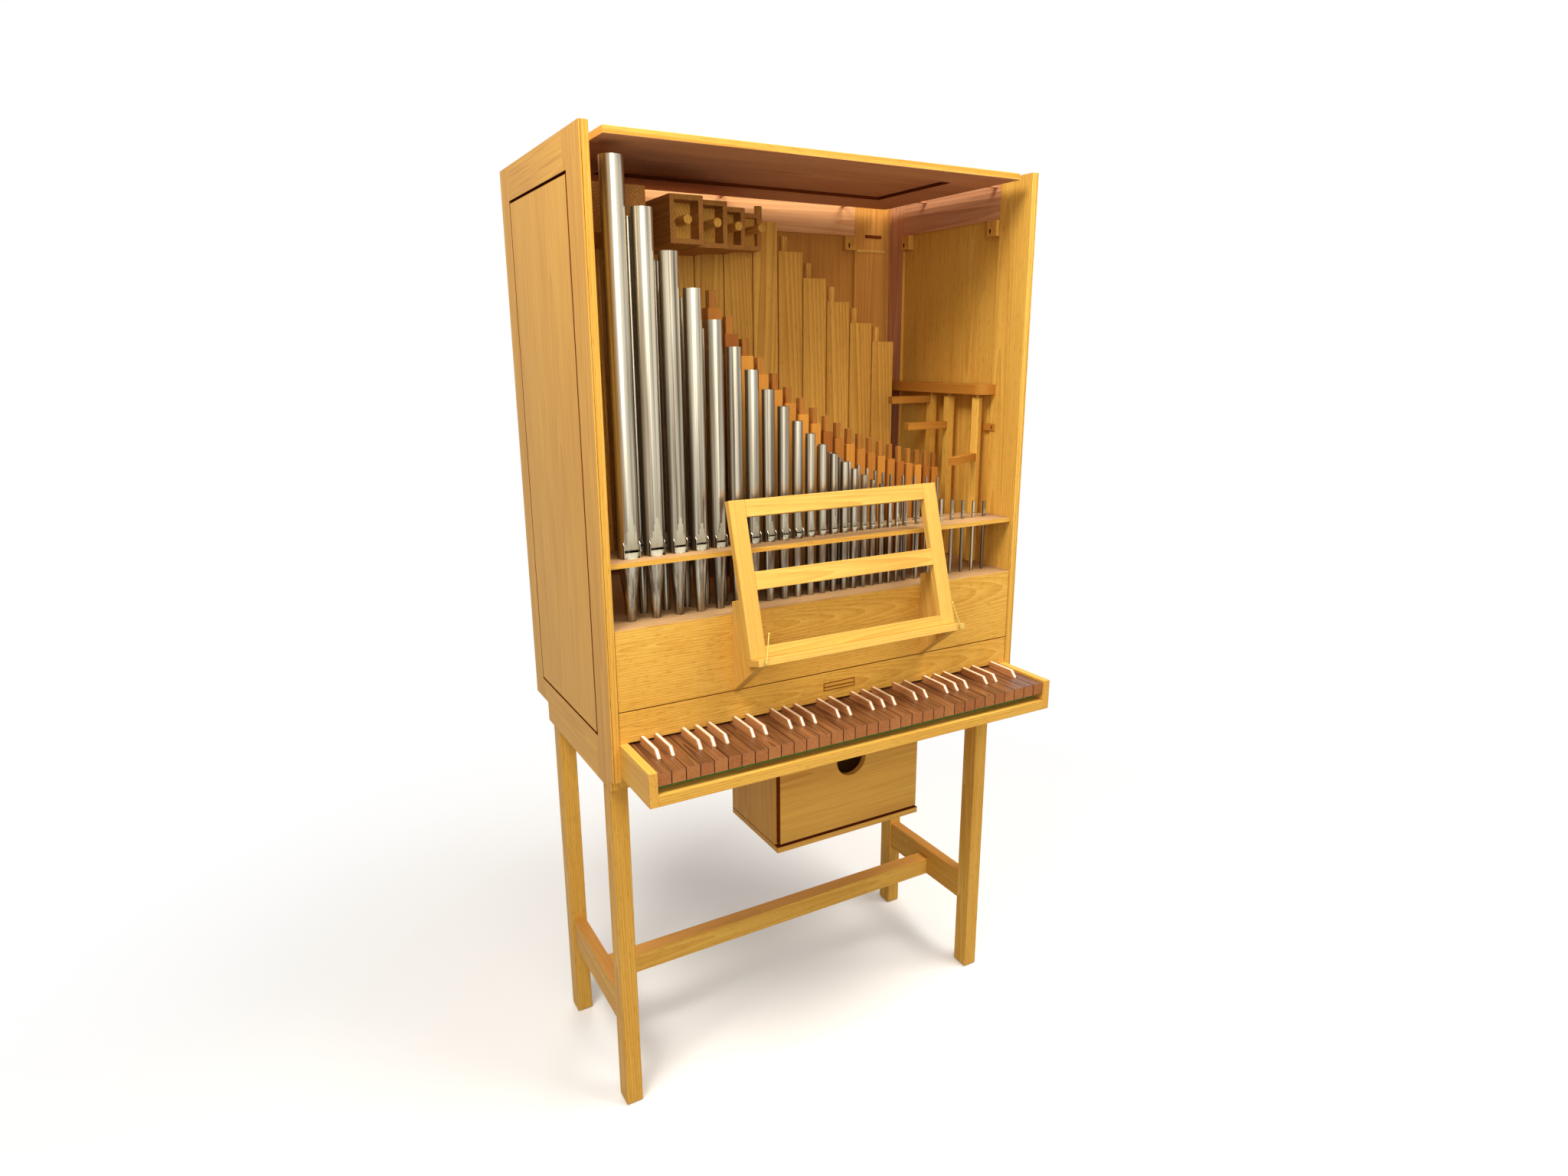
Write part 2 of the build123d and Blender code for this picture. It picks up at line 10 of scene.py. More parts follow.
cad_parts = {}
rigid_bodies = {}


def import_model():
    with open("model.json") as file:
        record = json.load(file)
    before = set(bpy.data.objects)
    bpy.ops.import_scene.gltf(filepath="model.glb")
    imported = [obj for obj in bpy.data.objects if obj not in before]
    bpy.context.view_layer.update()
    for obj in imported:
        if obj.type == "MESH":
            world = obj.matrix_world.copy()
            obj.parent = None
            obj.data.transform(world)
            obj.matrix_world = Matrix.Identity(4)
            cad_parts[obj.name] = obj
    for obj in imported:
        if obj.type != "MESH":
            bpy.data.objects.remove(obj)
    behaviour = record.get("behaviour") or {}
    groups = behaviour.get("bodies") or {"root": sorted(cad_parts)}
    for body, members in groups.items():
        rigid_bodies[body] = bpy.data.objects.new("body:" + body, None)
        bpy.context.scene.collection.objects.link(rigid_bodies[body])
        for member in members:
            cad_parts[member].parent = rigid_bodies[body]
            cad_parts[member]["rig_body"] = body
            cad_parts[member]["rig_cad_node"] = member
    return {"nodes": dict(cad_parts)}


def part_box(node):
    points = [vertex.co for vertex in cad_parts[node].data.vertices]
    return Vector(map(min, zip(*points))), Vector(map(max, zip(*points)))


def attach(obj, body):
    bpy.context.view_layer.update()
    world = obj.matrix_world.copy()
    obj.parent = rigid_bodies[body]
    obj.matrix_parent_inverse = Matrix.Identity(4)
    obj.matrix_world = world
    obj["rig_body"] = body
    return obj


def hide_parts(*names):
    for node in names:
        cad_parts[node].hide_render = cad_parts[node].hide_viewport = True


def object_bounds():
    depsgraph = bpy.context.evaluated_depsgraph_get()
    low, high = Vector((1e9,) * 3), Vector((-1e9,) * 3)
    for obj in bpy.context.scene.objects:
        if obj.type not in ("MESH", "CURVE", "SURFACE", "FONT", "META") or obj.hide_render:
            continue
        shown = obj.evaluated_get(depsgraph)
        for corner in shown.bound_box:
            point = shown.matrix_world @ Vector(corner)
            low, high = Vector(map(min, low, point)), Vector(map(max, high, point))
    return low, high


bl_info = {
    "name": "Cabinet pipe organ",
    "version": (1, 0, 0),
    "blender": (4, 5, 0),
    "location": "View3D > Sidebar > Organ",
    "description": "Dresses the boards, pipes, keys and stand of a cabinet organ",
    "category": "Object",
}

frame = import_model()
CAD_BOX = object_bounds()
NODES = frame["nodes"]
MM = 0.001
# Front edges of the case sides, 2 mm before the chest front
FRONT_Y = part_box("chest_front")[0].y - 2 * MM
# Ways that grain runs: along the keyboard, towards the back, upwards
ACROSS = (1, 0, 0)
INWARD = (0, 1, 0)
UPRIGHT = (0, 0, 1)
# Where a log's heart lies, in metres below a board, and how it slopes:
# quartered boards show straight lines, flat-sawn ones show arches
QUARTERED = {"depth": 0.045, "lean": 0.014}
FLAT_SAWN = {"depth": 0.02, "lean": 0.08}
PIPE_SAWN = {"depth": 0.015, "lean": 0.05}
KEY_SAWN = {"depth": 0.006, "lean": 0.014}
# A face looks along an axis when its normal has this share of it
FACING = 0.9
# How near to a border a face still belongs to it
NEAR = 5 * MM
# Points this close are one point, and levels this close are one level
SAME_POINT = 1e-5
SAME_LEVEL = 1e-6


def linear(code):
    """A hex colour as it looks on screen, as the linear values that shaders take."""
    parts = [int(code[i:i + 2], 16) / 255 for i in (0, 2, 4)]
    return tuple(c / 12.92 if c <= 0.04045 else ((c + 0.055) / 1.055) ** 2.4 for c in parts)


def colour(code, title, words):
    """One colour setting of the panel."""
    return bpy.props.FloatVectorProperty(
        name=title, description=words, default=linear(code), size=3, subtype="COLOR", min=0, max=1
    )


def length(value, title, words):
    """One size setting of the panel, in millimetres."""
    return bpy.props.FloatProperty(
        name=title, description=words, default=value * MM, unit="LENGTH", subtype="DISTANCE", min=0
    )


class OrganSizes(bpy.types.PropertyGroup):
    """Sizes that a user may change."""
    board_round: length(1.0, "Board edge", "Rounding of the edges of the case boards")
    fine_round: length(0.5, "Fine edge", "Rounding of the edges of keys and pipe boards")
    frame_round: length(0.35, "Frame edge", "Rounding of framed pieces, where joint lines meet")
    leg_round: length(1.8, "Leg edge", "Rounding of the edges of the stand")
    ring_width: length(4.5, "Growth rings", "Distance between growth rings in the oak")
    pore_length: length(22.0, "Pores", "Length of the oak's pores")
    pipe_wall: length(0.9, "Pipe metal", "Thickness of the pipe metal")
    ear_depth: length(4.5, "Ears", "How far the ears stand out beside a mouth")
    seam: length(1.2, "Seam", "How far the front boards stop short of each other")
    # This chamfer is painted dark in the case: painted shade in the groove, with some dust
    panel_chamfer: length(2.4, "Panel edge", "Chamfer round the side panels, which holds dust")
    glue_line: length(0.7, "Glue line", "Width of the dark line down the front edges of the sides")
    bone_width: length(4.0, "Bone strips", "Width of the bone let into each sharp")
    plate_width: length(65.0, "Plate width", "Width of the plate on the name board")
    plate_height: length(14.5, "Plate height", "Height of the plate on the name board")


class OrganColours(bpy.types.PropertyGroup):
    """Colours that a user may change."""
    oak_pale: colour("E8B856", "Case oak, pale", "Pale wood of the case boards")
    oak_dark: colour("C88C32", "Case oak, dark", "Darker rings of the case boards")
    side_pale: colour("E4B050", "Side oak, pale", "Outside of the case sides")
    side_dark: colour("C08438", "Side oak, dark", "Darker rings outside the case sides")
    # Rail oak colours: darker and redder partly for age and partly as painted shade under the roof
    rail_shade_pale: colour("E2A678", "Rail oak, pale", "Reddish rails and roof board, seen from inside")
    rail_shade_dark: colour("AE7450", "Rail oak, dark", "Darker rings in those rails")
    inner_pale: colour("DA9E4A", "Inner oak, pale", "Inside of the back")
    inner_dark: colour("B07432", "Inner oak, dark", "Darker rings inside the back")
    top_pale: colour("C8A274", "Board tops, pale", "Tops of the rack and toe boards")
    top_dark: colour("987248", "Board tops, dark", "Darker rings on those tops")
    # Painted light: these colours stand in for light that falls in behind the roof
    light_pool_pale: colour("E8B47E", "Back rail, pale", "Top rail of the back, where light falls in")
    light_pool_dark: colour("C88C58", "Back rail, dark", "Darker rings in that rail")
    # Dark of the seams: painted shade in grooves, recesses and holes, with some dust, and the glue line
    seam_and_shade_dark: colour("763818", "Seams", "Dust in the narrow seams")
    oak_pore: colour("7A4A18", "Oak pores", "Dark dashes in the oak")
    desk_pale: colour("E2B85E", "Desk, pale", "Pale wood of the music desk")
    desk_dark: colour("C89644", "Desk, dark", "Darker rings in the music desk")
    pipe_oak_pale: colour("F4BC58", "Pipe oak, pale", "Large wooden pipes")
    pipe_oak_dark: colour("BE8232", "Pipe oak, dark", "Rings in the large wooden pipes")
    arm_oak_pale: colour("CE904A", "Arm oak, pale", "Boxes on top of the bent pipes")
    arm_oak_dark: colour("986228", "Arm oak, dark", "Rings in those boxes")
    fruit_pale: colour("D6923A", "Fruitwood, pale", "Lighter of the small wooden pipes")
    fruit_dark: colour("80401C", "Fruitwood, dark", "Redder of the small wooden pipes")
    stopper_pale: colour("B67A34", "Stopper wood, pale", "Handles of the small wooden pipes")
    stopper_dark: colour("824A1C", "Stopper wood, dark", "Rings in those handles")
    bar_pale: colour("C08030", "Bar wood, pale", "Guide bar of the stop levers")
    bar_dark: colour("986024", "Bar wood, dark", "Rings in the guide bar")
    key_pale: colour("8C5A34", "Keys, pale", "Lighter streaks of the natural keys")
    key_dark: colour("482614", "Keys, dark", "Darker streaks of the natural keys")
    front_pale: colour("B87C48", "Key fronts, pale", "Fronts of the naturals")
    front_dark: colour("8A4C28", "Key fronts, dark", "Darker streaks there")
    sharp_pale: colour("DCA066", "Sharps, pale", "Sides of the sharps")
    sharp_dark: colour("A86E40", "Sharps, dark", "Darker streaks of the sharps")
    bone: colour("F4EAD6", "Bone", "Slips on the sharps")
    metal: colour("DCD2BA", "Pipe metal", "Tin and lead sheet")
    metal_dull: colour("685D4E", "Dull streaks", "Handled and tarnished pipe metal")
    lip: colour("BCB8A2", "Lips", "Pressed and scraped lips of the pipes")
    lip_dull: colour("A8A48E", "Dull lips", "Darker streaks of the lips")
    brass: colour("E6C868", "Brass", "Wires that hold the pages")
    felt: colour("5C9C40", "Felt", "Felt under the key fronts")


def sizes():
    """The size settings of this scene."""
    return bpy.context.scene.organ_sizes


def colours():
    """The colour settings of this scene."""
    return bpy.context.scene.organ_colours


def add_node(tree, kind, inputs=(), **settings):
    """Adds one node, sets its settings and fills or links its inputs."""
    node = tree.nodes.new("ShaderNode" + kind)
    for key, value in settings.items():
        setattr(node, key, value)
    for key, value in dict(inputs).items():
        if isinstance(value, bpy.types.NodeSocket):
            tree.links.new(value, node.inputs[key])
        else:
            node.inputs[key].default_value = value
    return node


def new_material(name):
    """Makes an empty material and returns it with its tree."""
    material = bpy.data.materials.new(name)
    material.use_nodes = True
    material.node_tree.nodes.clear()
    return material, material.node_tree


def rgba(value):
    """A colour with full opacity."""
    return (*value, 1.0)


def darker(value, share):
    """A share of a colour's light."""
    return tuple(c * share for c in value)


def wood(name, pale, dark, pore, ring, pores=0.45, rough=0.46, coat=0.0, mixed=0.3, shine=0.1, figure=0.5):
    """Sawn wood: growth rings a few millimetres apart, pores and a slow drift of tone.

    Grain runs along the third value of each board's own grain attribute, and
    the tone attribute makes every board a little lighter or darker. Pores,
    mixed and figure say how strongly pores, boards and rings differ.
    """
    material, tree = new_material(name)
    grain = add_node(tree, "Attribute", attribute_name="grain").outputs["Vector"]
    tone = add_node(tree, "Attribute", attribute_name="tone").outputs["Fac"]
    # A wave ring repeats every 0.314 units
    turn = 0.314 / (ring * MM)
    ring_space = add_node(tree, "Mapping", {"Vector": grain, "Scale": (turn, turn, turn / 14)})
    rings = add_node(
        tree, "TexWave",
        {"Vector": ring_space.outputs[0], "Scale": 1.0, "Distortion": 1.3, "Detail": 2.0,
         "Detail Scale": 0.9, "Detail Roughness": 0.55},
        wave_type="RINGS", rings_direction="Z", wave_profile="SAW",
    ).outputs["Fac"]
    # Width and length in millimetres of pores, of streaks and of the drift of tone;
    # real pores are 0.3 mm wide, and these are wider so that they show
    noise = {}
    for layer, wide, long, detail, grit in (
        ("pores", 1.3, sizes().pore_length / MM, 2.0, 0.6),
        ("streaks", 4, 190, 3.0, 0.55),
        ("drift", 70, 420, 2.0, 0.5),
    ):
        scale = (1 / (wide * MM), 1 / (wide * MM), 1 / (long * MM))
        space = add_node(tree, "Mapping", {"Vector": grain, "Scale": scale})
        noise[layer] = add_node(
            tree, "TexNoise",
            {"Vector": space.outputs[0], "Scale": 1.0, "Detail": detail, "Roughness": grit},
        ).outputs["Fac"]
    pore_mask = add_node(
        tree, "MapRange", {"Value": noise["pores"], "From Min": 0.57, "From Max": 0.72, "To Max": pores}
    ).outputs[0]
    # Rings, streaks, drift and the board's own tone add up by their weights
    total = -figure / 2
    for layer, weight in ((rings, figure), (noise["streaks"], 0.9), (noise["drift"], 0.6), (tone, mixed)):
        total = add_node(
            tree, "Math", {0: layer, 1: weight, 2: total}, operation="MULTIPLY_ADD"
        ).outputs[0]
    share = add_node(
        tree, "MapRange", {"Value": total, "From Min": 0.42, "From Max": 1.08 + mixed}
    ).outputs[0]
    timber = add_node(tree, "Mix", {0: share, 6: rgba(pale), 7: rgba(dark)}, data_type="RGBA").outputs[2]
    shade = add_node(tree, "Mix", {0: pore_mask, 6: timber, 7: rgba(pore)}, data_type="RGBA").outputs[2]
    gloss = add_node(
        tree, "MapRange", {"Value": pore_mask, "To Min": rough, "To Max": rough + 0.2}
    ).outputs[0]
    # Pores are dents in the streaky surface
    relief = add_node(
        tree, "Math", {0: pore_mask, 1: -1.0, 2: noise["streaks"]}, operation="MULTIPLY_ADD"
    ).outputs[0]
    bump = add_node(tree, "Bump", {"Height": relief, "Strength": 0.35, "Distance": 0.3 * MM})
    surface = add_node(tree, "BsdfPrincipled", {
        "Base Color": shade, "Roughness": gloss, "Normal": bump.outputs[0],
        "Coat Weight": coat, "Coat Roughness": 0.3, "IOR": 1.5, "Specular IOR Level": shine,
    })
    add_node(tree, "OutputMaterial", {"Surface": surface.outputs["BSDF"]})
    return material


def pipe_metal(name, base, dull, rough=0.3, metallic=1.0):
    """Planed tin and lead sheet: a soft grey shine with dull upright streaks."""
    material, tree = new_material(name)
    place = add_node(tree, "TexCoord").outputs["Object"]
    # Width and length in millimetres of the plane's streaks and of clouds of tarnish
    noise = {}
    for layer, wide, long, grit in (("streaks", 5, 900, 0.6), ("clouds", 12, 260, 0.5)):
        scale = (1 / (wide * MM), 1 / (wide * MM), 1 / (long * MM))
        space = add_node(tree, "Mapping", {"Vector": place, "Scale": scale})
        noise[layer] = add_node(
            tree, "TexNoise", {"Vector": space.outputs[0], "Scale": 1.0, "Detail": 3.0, "Roughness": grit}
        ).outputs["Fac"]
    # More tarnish lies towards the mouths, 0.98 m up
    height = add_node(tree, "SeparateXYZ", {"Vector": place}).outputs["Z"]
    low = add_node(
        tree, "MapRange", {"Value": height, "From Min": 0.95, "From Max": 1.4, "To Min": 0.2, "To Max": 0.0}
    ).outputs[0]
    total = low
    for layer, weight in (("streaks", 1.5), ("clouds", 0.5)):
        total = add_node(
            tree, "Math", {0: noise[layer], 1: weight, 2: total}, operation="MULTIPLY_ADD"
        ).outputs[0]
    share = add_node(tree, "MapRange", {"Value": total, "From Min": 0.78, "From Max": 1.36}).outputs[0]
    shade = add_node(tree, "Mix", {0: share, 6: rgba(base), 7: rgba(dull)}, data_type="RGBA").outputs[2]
    gloss = add_node(
        tree, "MapRange", {"Value": share, "To Min": rough - 0.06, "To Max": rough + 0.08}
    ).outputs[0]
    bump = add_node(tree, "Bump", {"Height": noise["streaks"], "Strength": 0.25, "Distance": 0.3 * MM})
    surface = add_node(tree, "BsdfPrincipled", {
        "Base Color": shade, "Metallic": metallic, "Roughness": gloss, "Normal": bump.outputs[0],
    })
    add_node(tree, "OutputMaterial", {"Surface": surface.outputs["BSDF"]})
    return material


def spotted(name, pale, dark, spot, rough, rise=0.2 * MM, sheen=0.0, metallic=0.0):
    """A fine even stuff with specks a few millimetres across, such as bone, felt or brass."""
    material, tree = new_material(name)
    place = add_node(tree, "TexCoord").outputs["Object"]
    fine = add_node(
        tree, "TexNoise", {"Vector": place, "Scale": 1 / (spot * MM), "Detail": 4.0, "Roughness": 0.6}
    ).outputs["Fac"]
    share = add_node(tree, "MapRange", {"Value": fine, "From Min": 0.35, "From Max": 0.68}).outputs[0]
    shade = add_node(tree, "Mix", {0: share, 6: rgba(pale), 7: rgba(dark)}, data_type="RGBA").outputs[2]
    gloss = add_node(
        tree, "MapRange", {"Value": share, "To Min": rough, "To Max": rough + 0.12}
    ).outputs[0]
    bump = add_node(tree, "Bump", {"Height": fine, "Strength": 0.4, "Distance": rise})
    surface = add_node(tree, "BsdfPrincipled", {
        "Base Color": shade, "Roughness": gloss, "Normal": bump.outputs[0], "Metallic": metallic,
        "Sheen Weight": sheen,
    })
    add_node(tree, "OutputMaterial", {"Surface": surface.outputs["BSDF"]})
    return material


def finishes():
    """Makes each finish once and keeps it by its name."""
    hue = colours()
    ring = sizes().ring_width / MM
    made = {}
    # Oiled oak: warm yellow boards with dark pores and cathedral figure
    made["case_oak"] = wood("case_oak_oiled", hue.oak_pale, hue.oak_dark, hue.oak_pore, ring)
    # Side oak: the same oak planed smooth, a little darker and more even
    made["side_oak"] = wood(
        "side_oak_oiled", hue.side_pale, hue.side_dark, hue.oak_dark, ring, pores=0.2, mixed=0.15,
        figure=0.25,
    )
    # Rail oak: reddish oak of the upper rails and the roof, partly aged and partly painted shade under the
    # roof
    made["rail_oak_shaded"] = wood("rail_oak_painted_shade", hue.rail_shade_pale, hue.rail_shade_dark, hue.rail_shade_dark, ring, rough=0.6)
    # Inner oak: bare boards of the back, golden brown with age; the same finish paints the case's shadow on
    # the stretcher tops
    made["inner_oak_and_shade"] = wood(
        "inner_oak_bare_and_painted_shade", hue.inner_pale, hue.inner_dark, hue.inner_dark, ring, rough=0.6
    )
    # Board tops: bare oak around the pipe feet, greyed by dust
    made["top_oak"] = wood("top_oak_bare", hue.top_pale, hue.top_dark, hue.top_dark, ring, rough=0.7)
    # Back rail: painted light, a pinkish pale pool where light through the gap behind the roof falls on the
    # back's top rail
    made["back_rail_painted_light"] = wood(
        "back_rail_light_pool", hue.light_pool_pale, hue.light_pool_dark, hue.light_pool_dark, ring, pores=0.2, rough=0.6
    )
    # Dark seams: dark red-brown with no shine. It is painted shade in grooves, rebates, chamfers, steps and
    # holes, and the real colour of the glue line and of dust in the seams
    made["dark_seams_and_shade"] = wood(
        "oak_seams_and_painted_shade", hue.seam_and_shade_dark, darker(hue.seam_and_shade_dark, 0.6), hue.seam_and_shade_dark, ring, rough=0.8, shine=0.0
    )
    # Pale oak: the music desk is lighter, finer and more even
    made["desk_oak"] = wood(
        "desk_oak_oiled", hue.desk_pale, hue.desk_dark, hue.oak_dark, ring * 0.8, pores=0.4, mixed=0.2
    )
    # Pipe oak: boards of many trees, paler and browner, sized with glue and not lacquered
    made["pipe_oak"] = wood(
        "pipe_oak_sized", hue.pipe_oak_pale, hue.pipe_oak_dark, hue.oak_pore, ring * 1.3, rough=0.5,
        mixed=0.5, figure=0.7,
    )
    # Arm oak: the same wood, darkened partly by age and partly as painted shade under the roof
    made["arm_oak_shaded"] = wood(
        "arm_oak_aged_and_shaded", hue.arm_oak_pale, hue.arm_oak_dark, hue.arm_oak_dark, ring, rough=0.55
    )
    # Fruitwood: orange and red pipes side by side
    made["fruitwood"] = wood(
        "fruitwood_sized", hue.fruit_pale, hue.fruit_dark, hue.fruit_dark, ring * 0.6, pores=0.2, mixed=1.6
    )
    # Stopper wood: brown handles of the small pipes
    made["stopper_wood"] = wood(
        "stopper_wood_sized", hue.stopper_pale, hue.stopper_dark, hue.stopper_dark, ring * 0.6,
        pores=0.3, rough=0.5,
    )
    # Bar wood: a brown stained rail
    made["bar_wood"] = wood(
        "bar_wood_stained", hue.bar_pale, hue.bar_dark, hue.bar_dark, ring * 0.7, pores=0.35
    )
    # Key wood: hard red-brown slips, polished by hands
    made["key_wood"] = wood(
        "key_hardwood_polished", hue.key_pale, hue.key_dark, hue.key_dark, ring * 0.5, pores=0.5,
        rough=0.36, coat=0.1, mixed=0.4, shine=0.3, figure=0.9,
    )
    # Key fronts: the same wood across its sawn ends, paler
    made["key_front"] = wood(
        "key_hardwood_sawn", hue.front_pale, hue.front_dark, hue.front_dark, ring * 0.4, pores=0.4
    )
    # Sharp wood: lighter slips that carry the bone; the paleness is partly painted light on the sharps'
    # sides
    made["sharp_wood_lit"] = wood(
        "sharp_hardwood_and_painted_light", hue.sharp_pale, hue.sharp_dark, hue.sharp_dark, ring * 0.4, pores=0.4
    )
    # Bone: cream slips with a soft polish
    made["bone"] = spotted(
        "bone_polished", hue.bone, darker(hue.bone, 0.88), 6.0, rough=0.3, rise=0.05 * MM
    )
    # Felt: matt green wool with a fuzzy edge
    made["felt"] = spotted(
        "wool_felt", hue.felt, darker(hue.felt, 0.6), 1.5, rough=0.9, rise=0.8 * MM, sheen=0.3
    )
    # Tin and lead sheet, planed: a soft grey shine with dull streaks
    made["metal"] = pipe_metal("tin_lead_sheet_planed", hue.metal, hue.metal_dull)
    # Lips: the same sheet, pressed flat and scraped dull
    made["lip"] = pipe_metal("tin_lead_lip_scraped", hue.lip, hue.lip_dull, rough=0.6, metallic=0.35)
    # Brass wire: yellow, with a dull shine and darker specks
    made["brass"] = spotted(
        "brass_wire_dull", hue.brass, darker(hue.brass, 0.7), 2.0, rough=0.3, metallic=1.0
    )
    return made


# Finishes by name, filled by main
FINISH = {}


def only(piece):
    """Selects one piece alone."""
    for other in bpy.context.selected_objects:
        other.select_set(False)
    piece.select_set(True)
    bpy.context.view_layer.objects.active = piece


def finish_piece(piece, body, slot, material, *nodes):
    """Gives a finished piece its material and body, and hides the nodes that it stands for; its slot is not
    used.
    """
    if material is not None:
        piece.data.materials.clear()
        piece.data.materials.append(FINISH[material])
    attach(piece, body)
    if nodes:
        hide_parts(*nodes)
    return piece


def modify(piece, kind, **settings):
    """Adds one modifier and applies it."""
    only(piece)
    bpy.ops.object.modifier_add(type=kind)
    modifier = piece.modifiers[-1]
    for key, value in settings.items():
        setattr(modifier, key, value)
    bpy.ops.object.modifier_apply(modifier=modifier.name)


def islands(mesh):
    """Lists of the vertices of each separate solid in a merged mesh."""
    near = [[] for _ in mesh.vertices]
    for edge in mesh.edges:
        a, b = edge.vertices
        near[a].append(b)
        near[b].append(a)
    seen = [False] * len(near)
    found = []
    for start in range(len(near)):
        if seen[start]:
            continue
        seen[start] = True
        stack = [start]
        group = []
        while stack:
            here = stack.pop()
            group.append(here)
            for other in near[here]:
                if not seen[other]:
                    seen[other] = True
                    stack.append(other)
        found.append(group)
    return found


def span(points):
    """Lowest and highest corner of some points."""
    columns = list(zip(*points))
    return Vector([min(c) for c in columns]), Vector([max(c) for c in columns])


def solids(node):
    """The box of each solid of a CAD node, from left to right."""
    shape = bmesh.new()
    shape.from_mesh(NODES[node].data)
    bmesh.ops.remove_doubles(shape, verts=shape.verts, dist=SAME_POINT)
    merged = bpy.data.meshes.new("merged")
    shape.to_mesh(merged)
    shape.free()
    boxes = [span([merged.vertices[i].co for i in group]) for group in islands(merged)]
    bpy.data.meshes.remove(merged)
    return sorted(boxes, key=lambda b: (b[0].x, b[0].y))


def lay_grain(piece, seed, along=None, sawn=QUARTERED):
    """Gives each board of a piece its own grain, as sawn from its own log.

    Grain runs along a board's longest side unless along says otherwise.
    """
    mesh = piece.data
    luck = random.Random(seed)
    runs = [0.0] * (3 * len(mesh.vertices))
    tones = [0.0] * len(mesh.vertices)
    for group in islands(mesh):
        low, high = span([mesh.vertices[i].co for i in group])
        size = high - low
        order = sorted(range(3), key=lambda k: size[k])
        axis = Vector([float(k == order[2]) for k in range(3)])
        if along is not None:
            axis = Vector(along).normalized()
        thin = Vector([float(k == order[0]) for k in range(3)])
        if abs(thin.dot(axis)) > FACING:
            thin = Vector([float(k == order[1]) for k in range(3)])
        thin = (thin - axis * thin.dot(axis)).normalized()
        wide = axis.cross(thin)
        tone = luck.random()
        aside = luck.uniform(-0.3, 0.3) * size[order[1]]
        under = sawn["depth"] * luck.uniform(0.7, 1.4)
        tilt = sawn["lean"] * luck.choice((-1, 1)) * luck.uniform(0.6, 1.3)
        start = luck.uniform(0, 5)
        middle = (low + high) / 2
        for i in group:
            spot = mesh.vertices[i].co - middle
            down = spot.dot(axis)
            runs[3 * i] = spot.dot(wide) + aside
            runs[3 * i + 1] = spot.dot(thin) + under + tilt * down
            runs[3 * i + 2] = down + start
            tones[i] = tone
    mesh.attributes.new("grain", "FLOAT_VECTOR", "POINT").data.foreach_set("vector", runs)
    mesh.attributes.new("tone", "FLOAT", "POINT").data.foreach_set("value", tones)


def soften(piece, width, segments=2):
    """Rounds the outer edges of the boards, but not where a face is too narrow for it."""
    shape = bmesh.new()
    shape.from_mesh(piece.data)
    weight = shape.edges.layers.float.new("bevel_weight_edge")
    # The least turn of an edge, in radians, and room for a rounding on both sides of a face
    turn = 0.5
    room = 2.2 * width
    for edge in shape.edges:
        if len(edge.link_faces) != 2 or edge.calc_face_angle_signed(0) < turn:
            continue
        narrow = min(f.calc_area() / max(e.calc_length() for e in f.edges) for f in edge.link_faces)
        if narrow > room:
            edge[weight] = 1.0
    shape.to_mesh(piece.data)
    shape.free()
    modify(
        piece, "BEVEL", width=width, segments=segments, limit_method="WEIGHT", harden_normals=True
    )


def clear_selection():
    """Deselects the whole mesh of the active piece."""
    bpy.ops.object.mode_set(mode="EDIT")
    bpy.ops.mesh.select_all(action="DESELECT")
    bpy.ops.object.mode_set(mode="OBJECT")


def trim(piece, ends, amount):
    """Takes a little off the named ends of a board, such as +z, so that a seam shows."""
    low, high = span([v.co for v in piece.data.vertices])
    for end in ends:
        axis = "xyz".index(end[1])
        edge = high[axis] if end[0] == "+" else low[axis]
        inward = -amount if end[0] == "+" else amount
        clear_selection()
        for vertex in piece.data.vertices:
            vertex.select = abs(vertex.co[axis] - edge) < SAME_LEVEL
        bpy.ops.object.mode_set(mode="EDIT")
        bpy.ops.transform.translate(value=[inward if k == axis else 0 for k in range(3)])
        bpy.ops.object.mode_set(mode="OBJECT")


def dress(node, finish, slot, width=None, along=None, segments=2, sawn=QUARTERED, ends=()):
    """Copies a CAD node, merges it, trims and rounds its edges and lays its grain."""
    source = NODES[node]
    only(source)
    bpy.ops.object.duplicate()
    piece = bpy.context.object
    piece.name = node + "_" + finish
    del piece["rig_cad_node"]
    bpy.ops.mesh.customdata_custom_splitnormals_clear()
    bpy.ops.object.mode_set(mode="EDIT")
    bpy.ops.mesh.select_all(action="SELECT")
    bpy.ops.mesh.remove_doubles(threshold=SAME_POINT)
    bpy.ops.mesh.dissolve_limited(angle_limit=math.radians(1))
    bpy.ops.object.mode_set(mode="OBJECT")
    bpy.ops.object.shade_smooth_by_angle(angle=math.radians(28))
    trim(piece, ends, sizes().seam)
    soften(piece, width or sizes().board_round, segments)
    lay_grain(piece, sum(map(ord, node)), along, sawn)
    return finish_piece(piece, source["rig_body"], slot, finish, node)


def paint(piece, finish, chosen):
    """Gives the faces that a test chooses another finish."""
    piece.data.materials.append(FINISH[finish])
    for face in piece.data.polygons:
        if chosen(face.normal, face.center):
            face.material_index = len(piece.data.materials) - 1


def score(piece, axis, places):
    """Cuts new edges across a piece at some places along one axis."""
    only(piece)
    normal = [float(k == axis) for k in range(3)]
    bpy.ops.object.mode_set(mode="EDIT")
    for place in places:
        bpy.ops.mesh.select_all(action="SELECT")
        bpy.ops.mesh.bisect(plane_co=[place * n for n in normal], plane_no=normal)
    bpy.ops.mesh.select_all(action="DESELECT")
    bpy.ops.object.mode_set(mode="OBJECT")


def block(name, place, size):
    """Adds one block at its place and size, to be shaped further."""
    bpy.ops.object.select_all(action="DESELECT")
    bpy.ops.mesh.primitive_cube_add(size=1, location=place, scale=size)
    piece = bpy.context.object
    piece.name = name
    bpy.ops.object.transform_apply(location=True, rotation=True, scale=True)
    return piece


